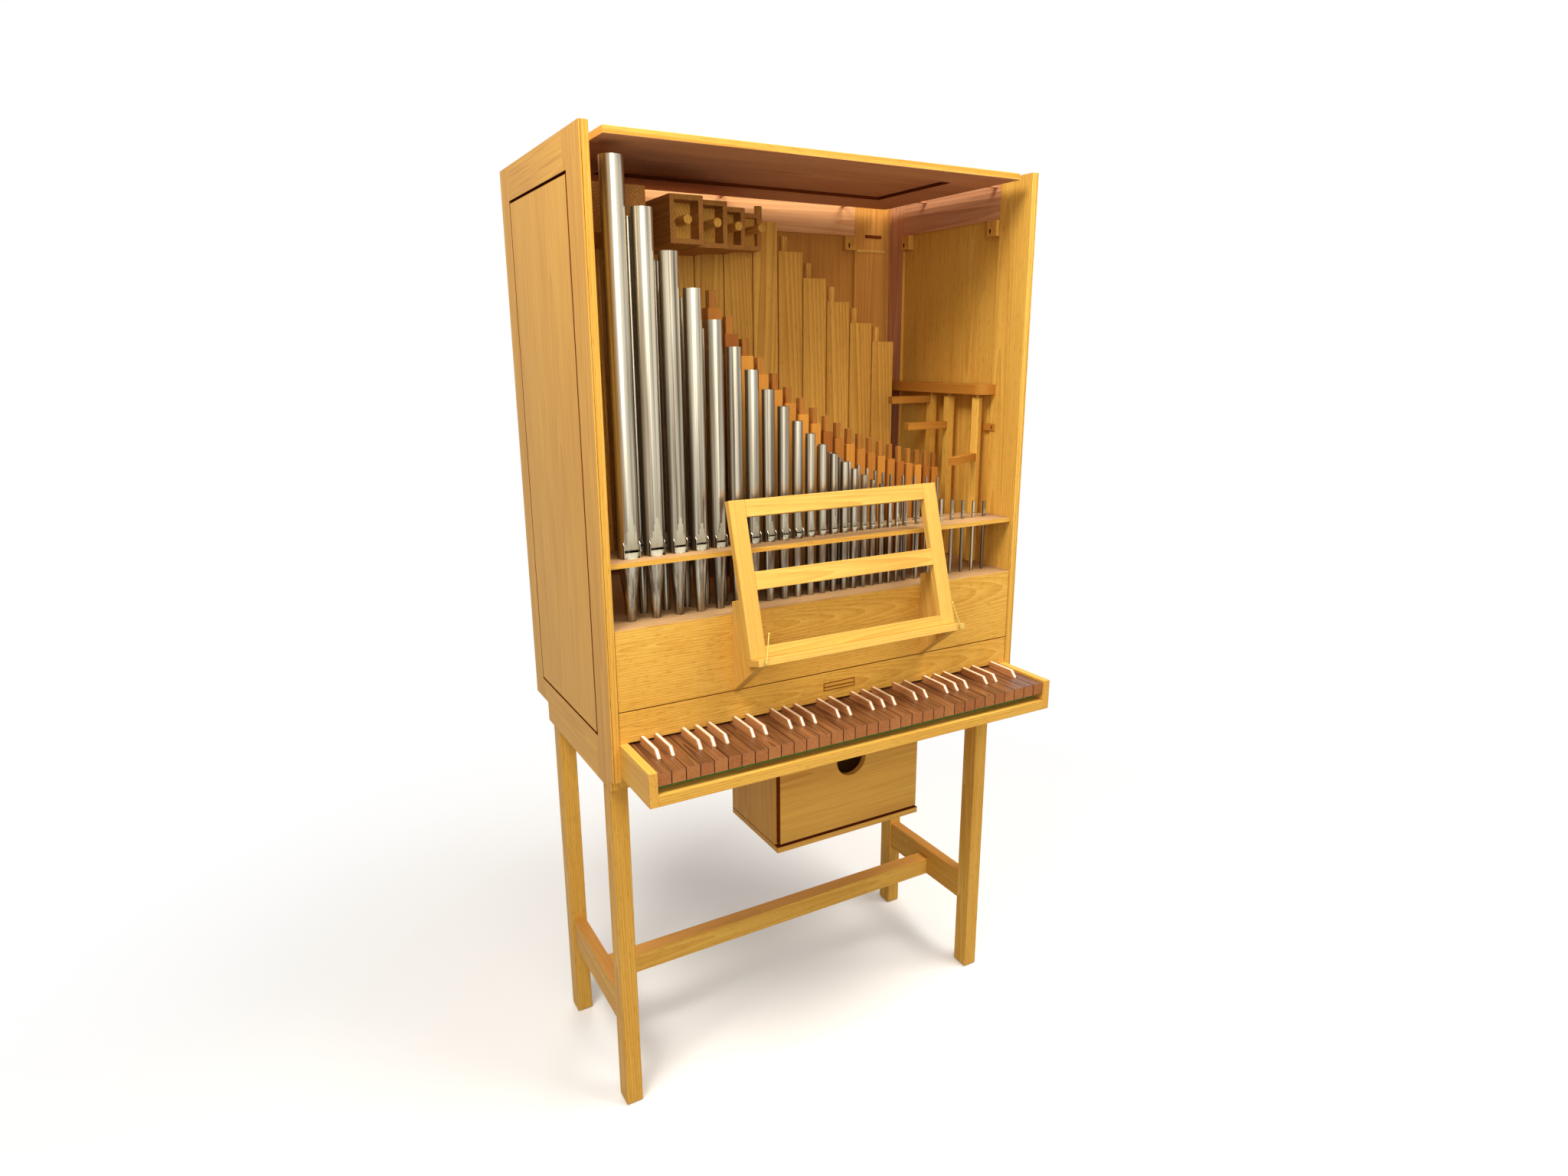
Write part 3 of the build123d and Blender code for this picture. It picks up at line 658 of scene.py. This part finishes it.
def bore(piece, place, axis, radius, depth, tall):
    """Cuts an upright oval hole into a piece and paints its walls dark, as painted shade inside the hole.
    """
    bpy.ops.object.select_all(action="DESELECT")
    turned = [0, 0, 0]
    turned[1 - axis] = math.pi / 2
    bpy.ops.mesh.primitive_cylinder_add(
        vertices=24, radius=radius, depth=2 * depth, location=place, rotation=turned
    )
    cutter = bpy.context.object
    bpy.ops.object.transform_apply(location=True, rotation=True, scale=True)
    bpy.ops.object.mode_set(mode="EDIT")
    bpy.ops.mesh.select_all(action="SELECT")
    bpy.ops.transform.resize(value=(1, 1, tall), center_override=place)
    bpy.ops.object.mode_set(mode="OBJECT")
    modify(piece, "BOOLEAN", object=cutter, operation="DIFFERENCE", solver="EXACT")
    low, high = span([v.co for v in cutter.data.vertices])
    bpy.data.objects.remove(cutter)
    spare = 0.1 * MM
    # Painted shade: the walls of the hole are dark
    paint(piece, "dark_seams_and_shade", lambda n, c: abs(n[axis]) < 0.5
          and all(low[k] - spare < c[k] < high[k] + spare for k in range(3)))


class ORGAN_OT_case(bpy.types.Operator):
    """Dresses the case: two sides, back, roof and floor"""
    bl_idname = "organ.case"
    bl_label = "Case"

    def execute(self, context):
        fine = sizes().frame_round
        # The outer layer of the sides, and how far panels reach behind their frames
        layer = 2.2 * MM
        lap = 10 * MM
        outer = CAD_BOX[1].x
        for hand, side in ((-1, "left"), (1, "right")):
            board = dress("side_frame_" + side, "side_oak", "oak", fine)
            panel = dress(
                "side_panel_" + side, "side_oak", "oak", sizes().panel_chamfer, along=UPRIGHT, segments=1
            )
            low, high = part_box("side_panel_" + side)
            inside = low.x if hand > 0 else high.x
            # A dark glue line follows the outer layer down the front edge
            line = [hand * (outer - layer), hand * (outer - layer - sizes().glue_line)]
            score(board, 0, line)
            paint(board, "case_oak", lambda n, c: n.x * hand < 0.5)
            paint(board, "dark_seams_and_shade", lambda n, c: n.y < -FACING and min(line) < c.x < max(line))
            # The rebate behind the panel and the walls round it are painted dark: painted shade in the
            # groove
            paint(board, "dark_seams_and_shade", lambda n, c: n.x * hand > FACING and abs(c.x - inside) < 0.5 * MM)
            paint(board, "dark_seams_and_shade", lambda n, c: abs(n.x) < 0.1 and abs(c.x) > abs(inside) + 2.5 * MM
                  and low.y - NEAR < c.y < high.y + NEAR)
            # Inside, the upper rail and the rear stile are painted redder and darker: painted shade under
            # the roof, partly their age
            paint(board, "rail_oak_shaded", lambda n, c: n.x * hand < -FACING and c.z > high.z - 2 * lap
                  and low.y + lap < c.y < high.y - lap)
            paint(board, "rail_oak_shaded", lambda n, c: n.x * hand < -FACING and c.y > high.y - lap)
            paint(panel, "case_oak", lambda n, c: n.x * hand < -0.5)
            # The chamfer round the panel is painted dark: painted shade in the groove round the panel, with
            # some dust
            paint(panel, "dark_seams_and_shade", lambda n, c: abs(n.x) < FACING)
        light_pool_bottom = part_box("back_panel")[1].z - 1.5 * lap
        for node, along in (("back_frame", None), ("back_panel", UPRIGHT)):
            board = dress(node, "side_oak", "oak", fine, along=along)
            paint(board, "inner_oak_and_shade", lambda n, c: n.y < -FACING)
            # Painted light: above this level the back's inner face is paler, standing in for light falling
            # in behind the roof
            paint(board, "back_rail_painted_light", lambda n, c: n.y < -FACING and c.z > light_pool_bottom)
        roof = dress("roof_board", "case_oak", "oak")
        low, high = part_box("roof_board")
        # The underside and the rear edge are painted redder and darker: painted shade under the roof,
        # partly age
        paint(roof, "rail_oak_shaded", lambda n, c: n.z < -0.3 or n.y > 0.5)
        # The step round the sunk middle is painted dark: painted shade in the recess
        paint(roof, "dark_seams_and_shade", lambda n, c: abs(n.z) < FACING and low.y + NEAR < c.y < high.y - NEAR
              and low.x + NEAR < c.x < high.x - NEAR)
        # The battens under the roof get the same painted shade
        dress("roof_battens", "rail_oak_shaded", "oak")
        dress("case_floor", "case_oak", "oak")
        return {"FINISHED"}


class ORGAN_OT_front_boards(bpy.types.Operator):
    """Dresses the boards across the front, below and between the pipes"""
    bl_idname = "organ.front_boards"
    bl_label = "Front boards"

    def execute(self, context):
        seams = {"chest_front": ("-x", "+x", "-z"), "name_board": ("-x", "+x", "+z")}
        for node in ("chest_front", "name_board", "toe_board", "rack_board"):
            board = dress(
                node, "case_oak", "oak", sizes().fine_round, along=ACROSS, sawn=FLAT_SAWN,
                ends=seams.get(node, ()),
            )
            if node in ("toe_board", "rack_board"):
                paint(board, "top_oak", lambda n, c: abs(n.z) > FACING)
        return {"FINISHED"}


class ORGAN_OT_name_plate(bpy.types.Operator):
    """Makes the small carved plate on the name board, with two bare fields"""
    bl_idname = "organ.name_plate"
    bl_label = "Name plate"

    def execute(self, context):
        middle = Vector((10.3 * MM, FRONT_Y + 1.6 * MM, 727.5 * MM))
        # The plate is as thick as the rim round its fields is wide
        rim = 1.2 * MM
        plate = block("name_plate", middle, (sizes().plate_width, rim, sizes().plate_height))
        # The upper field is a little taller than the lower one
        score(plate, 2, [middle.z - 1 * MM])
        for face in plate.data.polygons:
            face.select = face.normal.y < -FACING
        bpy.ops.object.mode_set(mode="EDIT")
        bpy.ops.mesh.select_mode(type="FACE")
        bpy.ops.mesh.inset(thickness=rim, depth=-0.7 * MM, use_individual=True)
        bpy.ops.mesh.select_mode(type="VERT")
        bpy.ops.object.mode_set(mode="OBJECT")
        soften(plate, 0.2 * MM, 1)
        lay_grain(plate, 5, ACROSS)
        finish_piece(plate, "organ", "oak", "case_oak")
        # Painted shade: the walls round the fields and the plate's edges are dark
        paint(plate, "dark_seams_and_shade", lambda n, c: abs(n.y) < FACING)
        return {"FINISHED"}


# Metal pipes: how many in front are large enough for ears and for a finer round
EARED_PIPES = 10
LARGE_PIPES = 14
LARGE_SIDES = 40
SMALL_SIDES = 24
# Mouths: their height over the rack, and the lips and slit in shares of a pipe's radius
MOUTH_OVER_RACK = 9 * MM
LOWER_LIP = 0.72
SLIT = 0.23
UPPER_LIP = 2.9
# A lip is pressed flat as far round as this
LIP_ANGLE = math.pi / 4


def pipe_axis(box):
    """The radius of a pipe and the middle of its tube, measured from the back of its box."""
    low, high = box
    radius = (high.x - low.x) / 2
    return radius, Vector(((high.x + low.x) / 2, high.y - radius, 0))


def ring_up(here, level, centre, scale=1):
    """Draws the open edge of a pipe up to a level and sizes the new ring."""
    bpy.ops.mesh.extrude_region_move(TRANSFORM_OT_translate={"value": (0, 0, level - here)})
    if scale != 1:
        bpy.ops.transform.resize(value=(scale, scale, 1), center_override=(centre.x, centre.y, level))
    return level


def press(piece, centre, radius, levels):
    """Presses the front of each named ring flat, as wide as its half angle says."""
    for level, angle in levels:
        wide = radius * math.sin(angle) + SAME_LEVEL
        for vertex in piece.data.vertices:
            off = vertex.co - centre
            if abs(vertex.co.z - level) < SAME_LEVEL and off.y < 0 and abs(off.x) < wide:
                vertex.co.y = centre.y - radius * math.cos(angle)


def ear_plate(name, box, mouth, hand):
    """Makes one ear: a thin plate beside the mouth, with its top corner cut off."""
    radius, centre = pipe_axis(box)
    deep = sizes().ear_depth
    root = 1 * MM
    side = radius * math.sin(LIP_ANGLE) + 0.4 * MM
    flat = radius * math.cos(LIP_ANGLE)
    place = (centre.x + hand * side, centre.y - flat - deep / 2 + root, mouth + 0.2 * radius)
    ear = block(name, place, (sizes().pipe_wall, deep + root, 1.5 * radius))
    low, high = span([v.co for v in ear.data.vertices])
    clear_selection()
    for edge in ear.data.edges:
        ends = [ear.data.vertices[i].co for i in edge.vertices]
        edge.select = all(e.y < low.y + SAME_LEVEL and e.z > high.z - SAME_LEVEL for e in ends)
    bpy.ops.object.mode_set(mode="EDIT")
    bpy.ops.mesh.select_mode(type="EDGE")
    bpy.ops.mesh.bevel(offset=0.8 * deep, segments=1)
    bpy.ops.mesh.select_mode(type="VERT")
    bpy.ops.object.mode_set(mode="OBJECT")
    ear.data.materials.append(FINISH["metal"])
    return ear


def turned_pipe(name, box, mouth, sides):
    """Makes one metal flue pipe: conical foot, pressed lips, mouth slit and open tube."""
    low, high = box
    radius, centre = pipe_axis(box)
    step = 2 * math.pi / sides
    half = round(LIP_ANGLE / step)
    tip = min(7 * MM, 0.8 * radius)
    bpy.ops.object.select_all(action="DESELECT")
    bpy.ops.mesh.primitive_circle_add(
        vertices=sides, radius=tip, fill_type="NOTHING", location=(centre.x, centre.y, low.z)
    )
    piece = bpy.context.object
    piece.name = name
    bpy.ops.object.transform_apply(location=True, rotation=True, scale=True)
    bpy.ops.object.mode_set(mode="EDIT")
    bpy.ops.mesh.select_all(action="SELECT")
    # Rounded lower lip, open slit, pointed upper lip
    sill = mouth - LOWER_LIP * radius
    slit = mouth + max(SLIT * radius, 1.2 * MM)
    peak = slit + UPPER_LIP * radius
    pressed = []
    here = ring_up(low.z, sill, centre, radius / tip)
    for k in range(1, half + 1):
        angle = k * step
        share = math.sin(angle) / math.sin(half * step)
        here = ring_up(here, mouth - (mouth - sill) * (1 - share ** 3), centre)
        pressed.append((here, angle))
    here = ring_up(here, slit, centre)
    pressed.append((here, half * step))
    for k in range(half - 1, -1, -1):
        share = math.sin(k * step) / math.sin(half * step)
        here = ring_up(here, peak - (peak - slit) * share, centre)
        if k:
            pressed.append((here, k * step))
    if high.z > peak + 1 * MM:
        ring_up(here, high.z, centre)
    bpy.ops.object.mode_set(mode="OBJECT")
    press(piece, centre, radius, pressed)
    wide = radius * math.sin(half * step)
    for face in piece.data.polygons:
        off = face.center - centre
        face.select = off.y < 0 and abs(off.x) < wide and mouth < face.center.z < slit
    bpy.ops.object.mode_set(mode="EDIT")
    bpy.ops.mesh.select_mode(type="FACE")
    bpy.ops.mesh.delete(type="FACE")
    bpy.ops.mesh.select_all(action="SELECT")
    bpy.ops.mesh.normals_make_consistent(inside=False)
    bpy.ops.mesh.select_mode(type="VERT")
    bpy.ops.object.mode_set(mode="OBJECT")
    piece.data.materials.append(FINISH["metal"])
    piece.data.materials.append(FINISH["lip"])
    for face in piece.data.polygons:
        off = face.center - centre
        up = (face.center.z - slit) / (peak - slit)
        down = (mouth - face.center.z) / (mouth - sill)
        above = 0 < up < 1 and abs(off.x) < wide * (1 - up)
        below = 0 < down < 1 and abs(off.x) < wide * (1 - down ** 2)
        face.material_index = int(off.y < 0 and (above or below))
    modify(piece, "SOLIDIFY", thickness=min(sizes().pipe_wall, 0.25 * radius), offset=-1)
    only(piece)
    bpy.ops.object.shade_smooth_by_angle(angle=math.radians(32))
    return piece


class ORGAN_OT_metal_pipes(bpy.types.Operator):
    """Makes the two ranks of metal pipes with their mouths"""
    bl_idname = "organ.metal_pipes"
    bl_label = "Metal pipes"

    def execute(self, context):
        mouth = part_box("rack_board")[1].z + MOUTH_OVER_RACK
        for node in ("principal_pipes_front", "principal_pipes_rear"):
            front = node.endswith("front")
            made = []
            for count, box in enumerate(solids(node)):
                sides = LARGE_SIDES if front and count < LARGE_PIPES else SMALL_SIDES
                name = node + "_" + str(count + 1)
                made.append(turned_pipe(name, box, mouth, sides))
                if front and count < EARED_PIPES:
                    for hand in (-1, 1):
                        made.append(ear_plate(name + "_ear", box, mouth, hand))
            only(made[0])
            for pipe in made:
                pipe.select_set(True)
            bpy.ops.object.join()
            rank = bpy.context.object
            rank.name = node + "_metal"
            finish_piece(rank, "organ", "pipe_metal", None, node)
        return {"FINISHED"}


class ORGAN_OT_wood_pipes(bpy.types.Operator):
    """Dresses the small wooden pipes and their stopper handles"""
    bl_idname = "organ.wood_pipes"
    bl_label = "Small wooden pipes"

    def execute(self, context):
        fine = sizes().fine_round
        dress("wood_pipes", "fruitwood", "red_wood", fine, along=UPRIGHT)
        dress("wood_pipe_handles", "stopper_wood", "red_wood", fine, along=UPRIGHT, segments=1)
        return {"FINISHED"}


class ORGAN_OT_bass_pipes(bpy.types.Operator):
    """Dresses the large wooden pipes at the back, their bent arms and stoppers"""
    bl_idname = "organ.bass_pipes"
    bl_label = "Large wooden pipes"

    def execute(self, context):
        fine = sizes().fine_round
        dress("bass_pipes_bent", "pipe_oak", "oak", fine, along=UPRIGHT, sawn=PIPE_SAWN)
        # The arms are darker partly as painted shade under the roof
        dress("bass_pipe_arms", "arm_oak_shaded", "oak", fine)
        dress("bass_pipes_straight", "pipe_oak", "oak", fine, along=UPRIGHT, sawn=PIPE_SAWN)
        dress("bass_stoppers", "pipe_oak", "red_wood", fine)
        return {"FINISHED"}


class ORGAN_OT_keyboard(bpy.types.Operator):
    """Dresses the keys, their bed, cheeks, slip and felt"""
    bl_idname = "organ.keyboard"
    bl_label = "Keyboard"

    def execute(self, context):
        fine = sizes().fine_round
        for node in ("key_bed", "key_cheeks", "key_slip"):
            dress(node, "side_oak" if node == "key_cheeks" else "case_oak", "oak", fine)
        keys = dress("natural_keys", "key_wood", "red_wood", fine, along=INWARD, segments=1, sawn=KEY_SAWN)
        paint(keys, "key_front", lambda n, c: n.y < -FACING)
        # The sharps are paler partly as painted light on their sides
        dress("sharp_keys", "sharp_wood_lit", "red_wood", fine, along=INWARD, segments=1)
        middles = [(low.x + high.x) / 2 for low, high in solids("sharp_caps")]
        caps = dress("sharp_caps", "bone", "bone", fine, along=INWARD)
        # The bone is a narrow strip let into the top of each sharp
        half = sizes().bone_width / 2
        score(caps, 0, [m + hand * half for m in middles for hand in (-1, 1)])
        paint(caps, "sharp_wood_lit", lambda n, c: min(abs(c.x - m) for m in middles) > half)
        felt = dress("key_felt", "felt", "felt", fine)
        return {"FINISHED"}


class ORGAN_OT_music_desk(bpy.types.Operator):
    """Dresses the leaning music desk and its page holders"""
    bl_idname = "organ.music_desk"
    bl_label = "Music desk"

    def execute(self, context):
        lean = math.radians(16.1)
        up = (0, math.sin(lean), math.cos(lean))
        for part, along in (("stiles", up), ("rails", ACROSS), ("ledge", ACROSS), ("brackets", up)):
            dress("desk_" + part, "desk_oak", "pale_wood", along=along)
        for node in ("page_holder_left", "page_holder_right"):
            NODES[node].data.materials.clear()
            NODES[node].data.materials.append(FINISH["brass"])
        return {"FINISHED"}


class ORGAN_OT_stop_action(bpy.types.Operator):
    """Dresses the stop levers on the right wall and their guide bar"""
    bl_idname = "organ.stop_action"
    bl_label = "Stop levers"

    def execute(self, context):
        fine = sizes().fine_round
        dress("stop_guide_bar", "bar_wood", "oak", fine)
        for number in "123":
            dress("stop_shaft_" + number, "case_oak", "oak", fine, along=UPRIGHT)
            dress("stop_handle_" + number, "bar_wood", "red_wood", fine)
        return {"FINISHED"}


class ORGAN_OT_fittings(bpy.types.Operator):
    """Makes the small plate on the right wall, and the dark and pale strips on the back"""
    bl_idname = "organ.fittings"
    bl_label = "Inside fittings"

    def execute(self, context):
        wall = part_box("side_frame_right")[0].x
        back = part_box("back_frame")[0].y
        level = 1159 * MM
        place = (wall - 1.3 * MM, FRONT_Y + 79 * MM, level)
        plate = block("wall_plate", place, (3.4 * MM, 32 * MM, 14 * MM))
        soften(plate, 1.5 * MM)
        lay_grain(plate, 3)
        finish_piece(plate, "organ", "oak", "bar_wood")
        hole = (wall - 3 * MM, FRONT_Y + 70 * MM, level)
        bore(plate, hole, 0, radius=2.2 * MM, depth=5 * MM, tall=1.6)
        # Each strip's place and size, across and up, in millimetres
        strips = (
            ("pale_strip", (353.5, 1508.5), (73, 5), "desk_oak"),
            # The dark strip is a dark sheet standing for the shade in a slot in the back stile: painted
            # shade
            ("slot_shade_strip", (359, 1538), (42, 6), "dark_seams_and_shade"),
        )
        for name, (x, z), (wide, tall), finish in strips:
            strip = block(name, (x * MM, back - 0.4 * MM, z * MM), (wide * MM, 1.8 * MM, tall * MM))
            soften(strip, 0.3 * MM)
            lay_grain(strip, 4)
            finish_piece(strip, "organ", "oak", finish)
        return {"FINISHED"}


class ORGAN_OT_catches(bpy.types.Operator):
    """Dresses the catches that hold the panels"""
    bl_idname = "organ.catches"
    bl_label = "Panel catches"

    def execute(self, context):
        # Where the hole lies in a catch, in shares of its size
        hole = Vector((0.35, 0.68, 0.34))
        boxes = solids("panel_catches")
        catches = dress("panel_catches", "side_oak", "oak", sizes().fine_round)
        for low, high in boxes:
            size = high - low
            axis = 0 if size.x < size.y else 1
            place = low + hole * size
            place[axis] = low[axis] if low[axis] > 0 else high[axis]
            bore(catches, place, axis, radius=2.6 * MM, depth=5 * MM, tall=1.9)
        return {"FINISHED"}


class ORGAN_OT_stand(bpy.types.Operator):
    """Dresses the legs and stretchers of the stand"""
    bl_idname = "organ.stand"
    bl_label = "Stand"

    def execute(self, context):
        width = sizes().leg_round
        for node in ("legs", "side_stretchers", "long_stretcher"):
            board = dress(node, "case_oak", "oak", width)
            # The tops of the stretchers are painted darker: painted shadow of the case above them
            paint(board, "inner_oak_and_shade", lambda n, c: n.z > FACING)
        return {"FINISHED"}


class ORGAN_OT_hung_box(bpy.types.Operator):
    """Dresses the box that hangs under the case"""
    bl_idname = "organ.hung_box"
    bl_label = "Hung box"

    def execute(self, context):
        chamfer = 1.5 * MM
        dress("blower_box", "side_oak", "oak")
        front = dress("blower_box_front", "side_oak", "oak", chamfer, segments=1)
        low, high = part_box("blower_box_front")
        # Dark lines are painted beside the front and above the bottom: painted shade in the gaps round the
        # front
        paint(front, "dark_seams_and_shade", lambda n, c: n.y > -FACING and not low.x + NEAR < c.x < high.x - NEAR)
        bottom = dress("blower_box_bottom", "side_oak", "oak")
        paint(bottom, "dark_seams_and_shade", lambda n, c: n.z > 0.3)
        return {"FINISHED"}


def soft_lamp(name, place, target, width, power, tint):
    """Adds one square soft lamp that looks at a point."""
    bpy.ops.object.light_add(type="AREA", location=place)
    lamp = bpy.context.object
    lamp.name = name
    lamp.rotation_euler = (Vector(target) - Vector(place)).to_track_quat("-Z", "Y").to_euler()
    lamp.data.size = width
    lamp.data.energy = power
    lamp.data.color = tint


def seen_directly(tree):
    """One for rays that look at the background, and nought for rays that only carry its light."""
    path = add_node(tree, "LightPath")
    seen = add_node(
        tree, "Math", {0: path.outputs["Is Camera Ray"], 1: path.outputs["Is Glossy Ray"]},
        operation="MAXIMUM",
    ).outputs[0]
    return add_node(
        tree, "Math", {0: seen, 1: path.outputs["Is Transmission Ray"]}, operation="MAXIMUM"
    ).outputs[0]


def lay_floor():
    """Lays a pale floor that keeps the organ's shadow and fades to white further off."""
    bpy.ops.object.select_all(action="DESELECT")
    bpy.ops.mesh.primitive_plane_add(size=40)
    floor = bpy.context.object
    floor.name = "floor"
    # Floor paint: pale and matt around the legs, white from 1.7 m outwards
    material, tree = new_material("floor_paint_pale")
    place = add_node(tree, "TexCoord").outputs["Object"]
    far = add_node(tree, "VectorMath", {0: place}, operation="LENGTH").outputs["Value"]
    fade = add_node(
        tree, "MapRange", {"Value": far, "From Min": 0.6, "From Max": 1.7},
        interpolation_type="SMOOTHSTEP",
    ).outputs[0]
    seen = seen_directly(tree)
    share = add_node(tree, "Math", {0: fade, 1: seen}, operation="MULTIPLY").outputs[0]
    # The floor throws back less light than it shows, as in a room with a darker floor
    bright = add_node(tree, "MapRange", {"Value": seen, "To Min": 0.4, "To Max": 0.95}).outputs[0]
    matt = add_node(tree, "BsdfDiffuse", {"Color": bright})
    white = add_node(tree, "Emission", {"Color": (1, 1, 1, 1), "Strength": 1.0})
    both = add_node(tree, "MixShader", {0: share, 1: matt.outputs[0], 2: white.outputs[0]})
    add_node(tree, "OutputMaterial", {"Surface": both.outputs[0]})
    floor.data.materials.append(material)


def hang_surround(scene):
    """Sets a surround that looks white and gives about a third of that as light."""
    world = bpy.data.worlds.new("surround")
    world.use_nodes = True
    scene.world = world
    tree = world.node_tree
    tree.nodes.clear()
    level = add_node(
        tree, "MapRange", {"Value": seen_directly(tree), "To Min": 0.3, "To Max": 1.0}
    ).outputs[0]
    sky = add_node(tree, "Background", {"Color": (1, 1, 1, 1), "Strength": level})
    add_node(tree, "OutputWorld", {"Surface": sky.outputs[0]})


def place_camera(scene):
    """Puts the camera where the photograph was taken from."""
    heading, pitch, roll = (math.radians(turn) for turn in (-29.667, 75.727, -0.2311))
    bpy.ops.object.camera_add(location=(-0.85011, -1.46843, 1.30335))
    camera = bpy.context.object
    turned = Matrix.Rotation(heading, 3, "Z") @ Matrix.Rotation(pitch, 3, "X")
    turned = turned @ Matrix.Rotation(roll, 3, "Z")
    camera.rotation_euler = turned.to_euler()
    camera.data.sensor_fit = "HORIZONTAL"
    camera.data.sensor_width = 36
    camera.data.lens = 21.379
    scene.camera = camera


class ORGAN_OT_stage(bpy.types.Operator):
    """Sets the floor, the surround, the soft lamps and the camera"""
    bl_idname = "organ.stage"
    bl_label = "Stage"

    def execute(self, context):
        scene = context.scene
        scene.view_settings.view_transform = "Standard"
        lay_floor()
        hang_surround(scene)
        middle = (0, 0, 0.9)
        warm = (1.0, 0.95, 0.87)
        mild = (1.0, 0.96, 0.9)
        soft_lamp("key_lamp", (1.0, -0.9, 3.2), middle, 1.5, 82, warm)
        soft_lamp("side_lamp", (-1.4, -0.9, 2.85), middle, 0.9, 52, warm)
        soft_lamp("fill_lamp", (-0.9, -2.8, 1.9), middle, 2.0, 37, mild)
        soft_lamp("back_lamp", (0.6, 2.9, 2.2), middle, 1.6, 30, mild)
        place_camera(scene)
        return {"FINISHED"}


PIECES = (
    ORGAN_OT_case, ORGAN_OT_front_boards, ORGAN_OT_name_plate, ORGAN_OT_metal_pipes,
    ORGAN_OT_wood_pipes, ORGAN_OT_bass_pipes, ORGAN_OT_keyboard, ORGAN_OT_music_desk, ORGAN_OT_stop_action,
    ORGAN_OT_fittings, ORGAN_OT_catches, ORGAN_OT_stand, ORGAN_OT_hung_box, ORGAN_OT_stage,
)


class ORGAN_PT_panel(bpy.types.Panel):
    """Lists the settings and the pieces of the organ"""
    bl_idname = "ORGAN_PT_panel"
    bl_label = "Cabinet pipe organ"
    bl_space_type = "VIEW_3D"
    bl_region_type = "UI"
    bl_category = "Organ"

    def draw(self, context):
        layout = self.layout
        for group in (context.scene.organ_sizes, context.scene.organ_colours):
            for setting in group.__annotations__:
                layout.prop(group, setting)
        for piece in PIECES:
            layout.operator(piece.bl_idname)


CLASSES = (OrganSizes, OrganColours, *PIECES, ORGAN_PT_panel)


def register():
    """Registers the settings, operators and panel."""
    for kind in CLASSES:
        bpy.utils.register_class(kind)
    bpy.types.Scene.organ_sizes = bpy.props.PointerProperty(type=OrganSizes)
    bpy.types.Scene.organ_colours = bpy.props.PointerProperty(type=OrganColours)


def unregister():
    """Removes what register added."""
    del bpy.types.Scene.organ_colours
    del bpy.types.Scene.organ_sizes
    for kind in reversed(CLASSES):
        bpy.utils.unregister_class(kind)


def main():
    """Builds every piece in order."""
    register()
    FINISH.update(finishes())
    for piece in PIECES:
        group, name = piece.bl_idname.split(".")
        getattr(getattr(bpy.ops, group), name)()


if __name__ == "__main__":
    main()
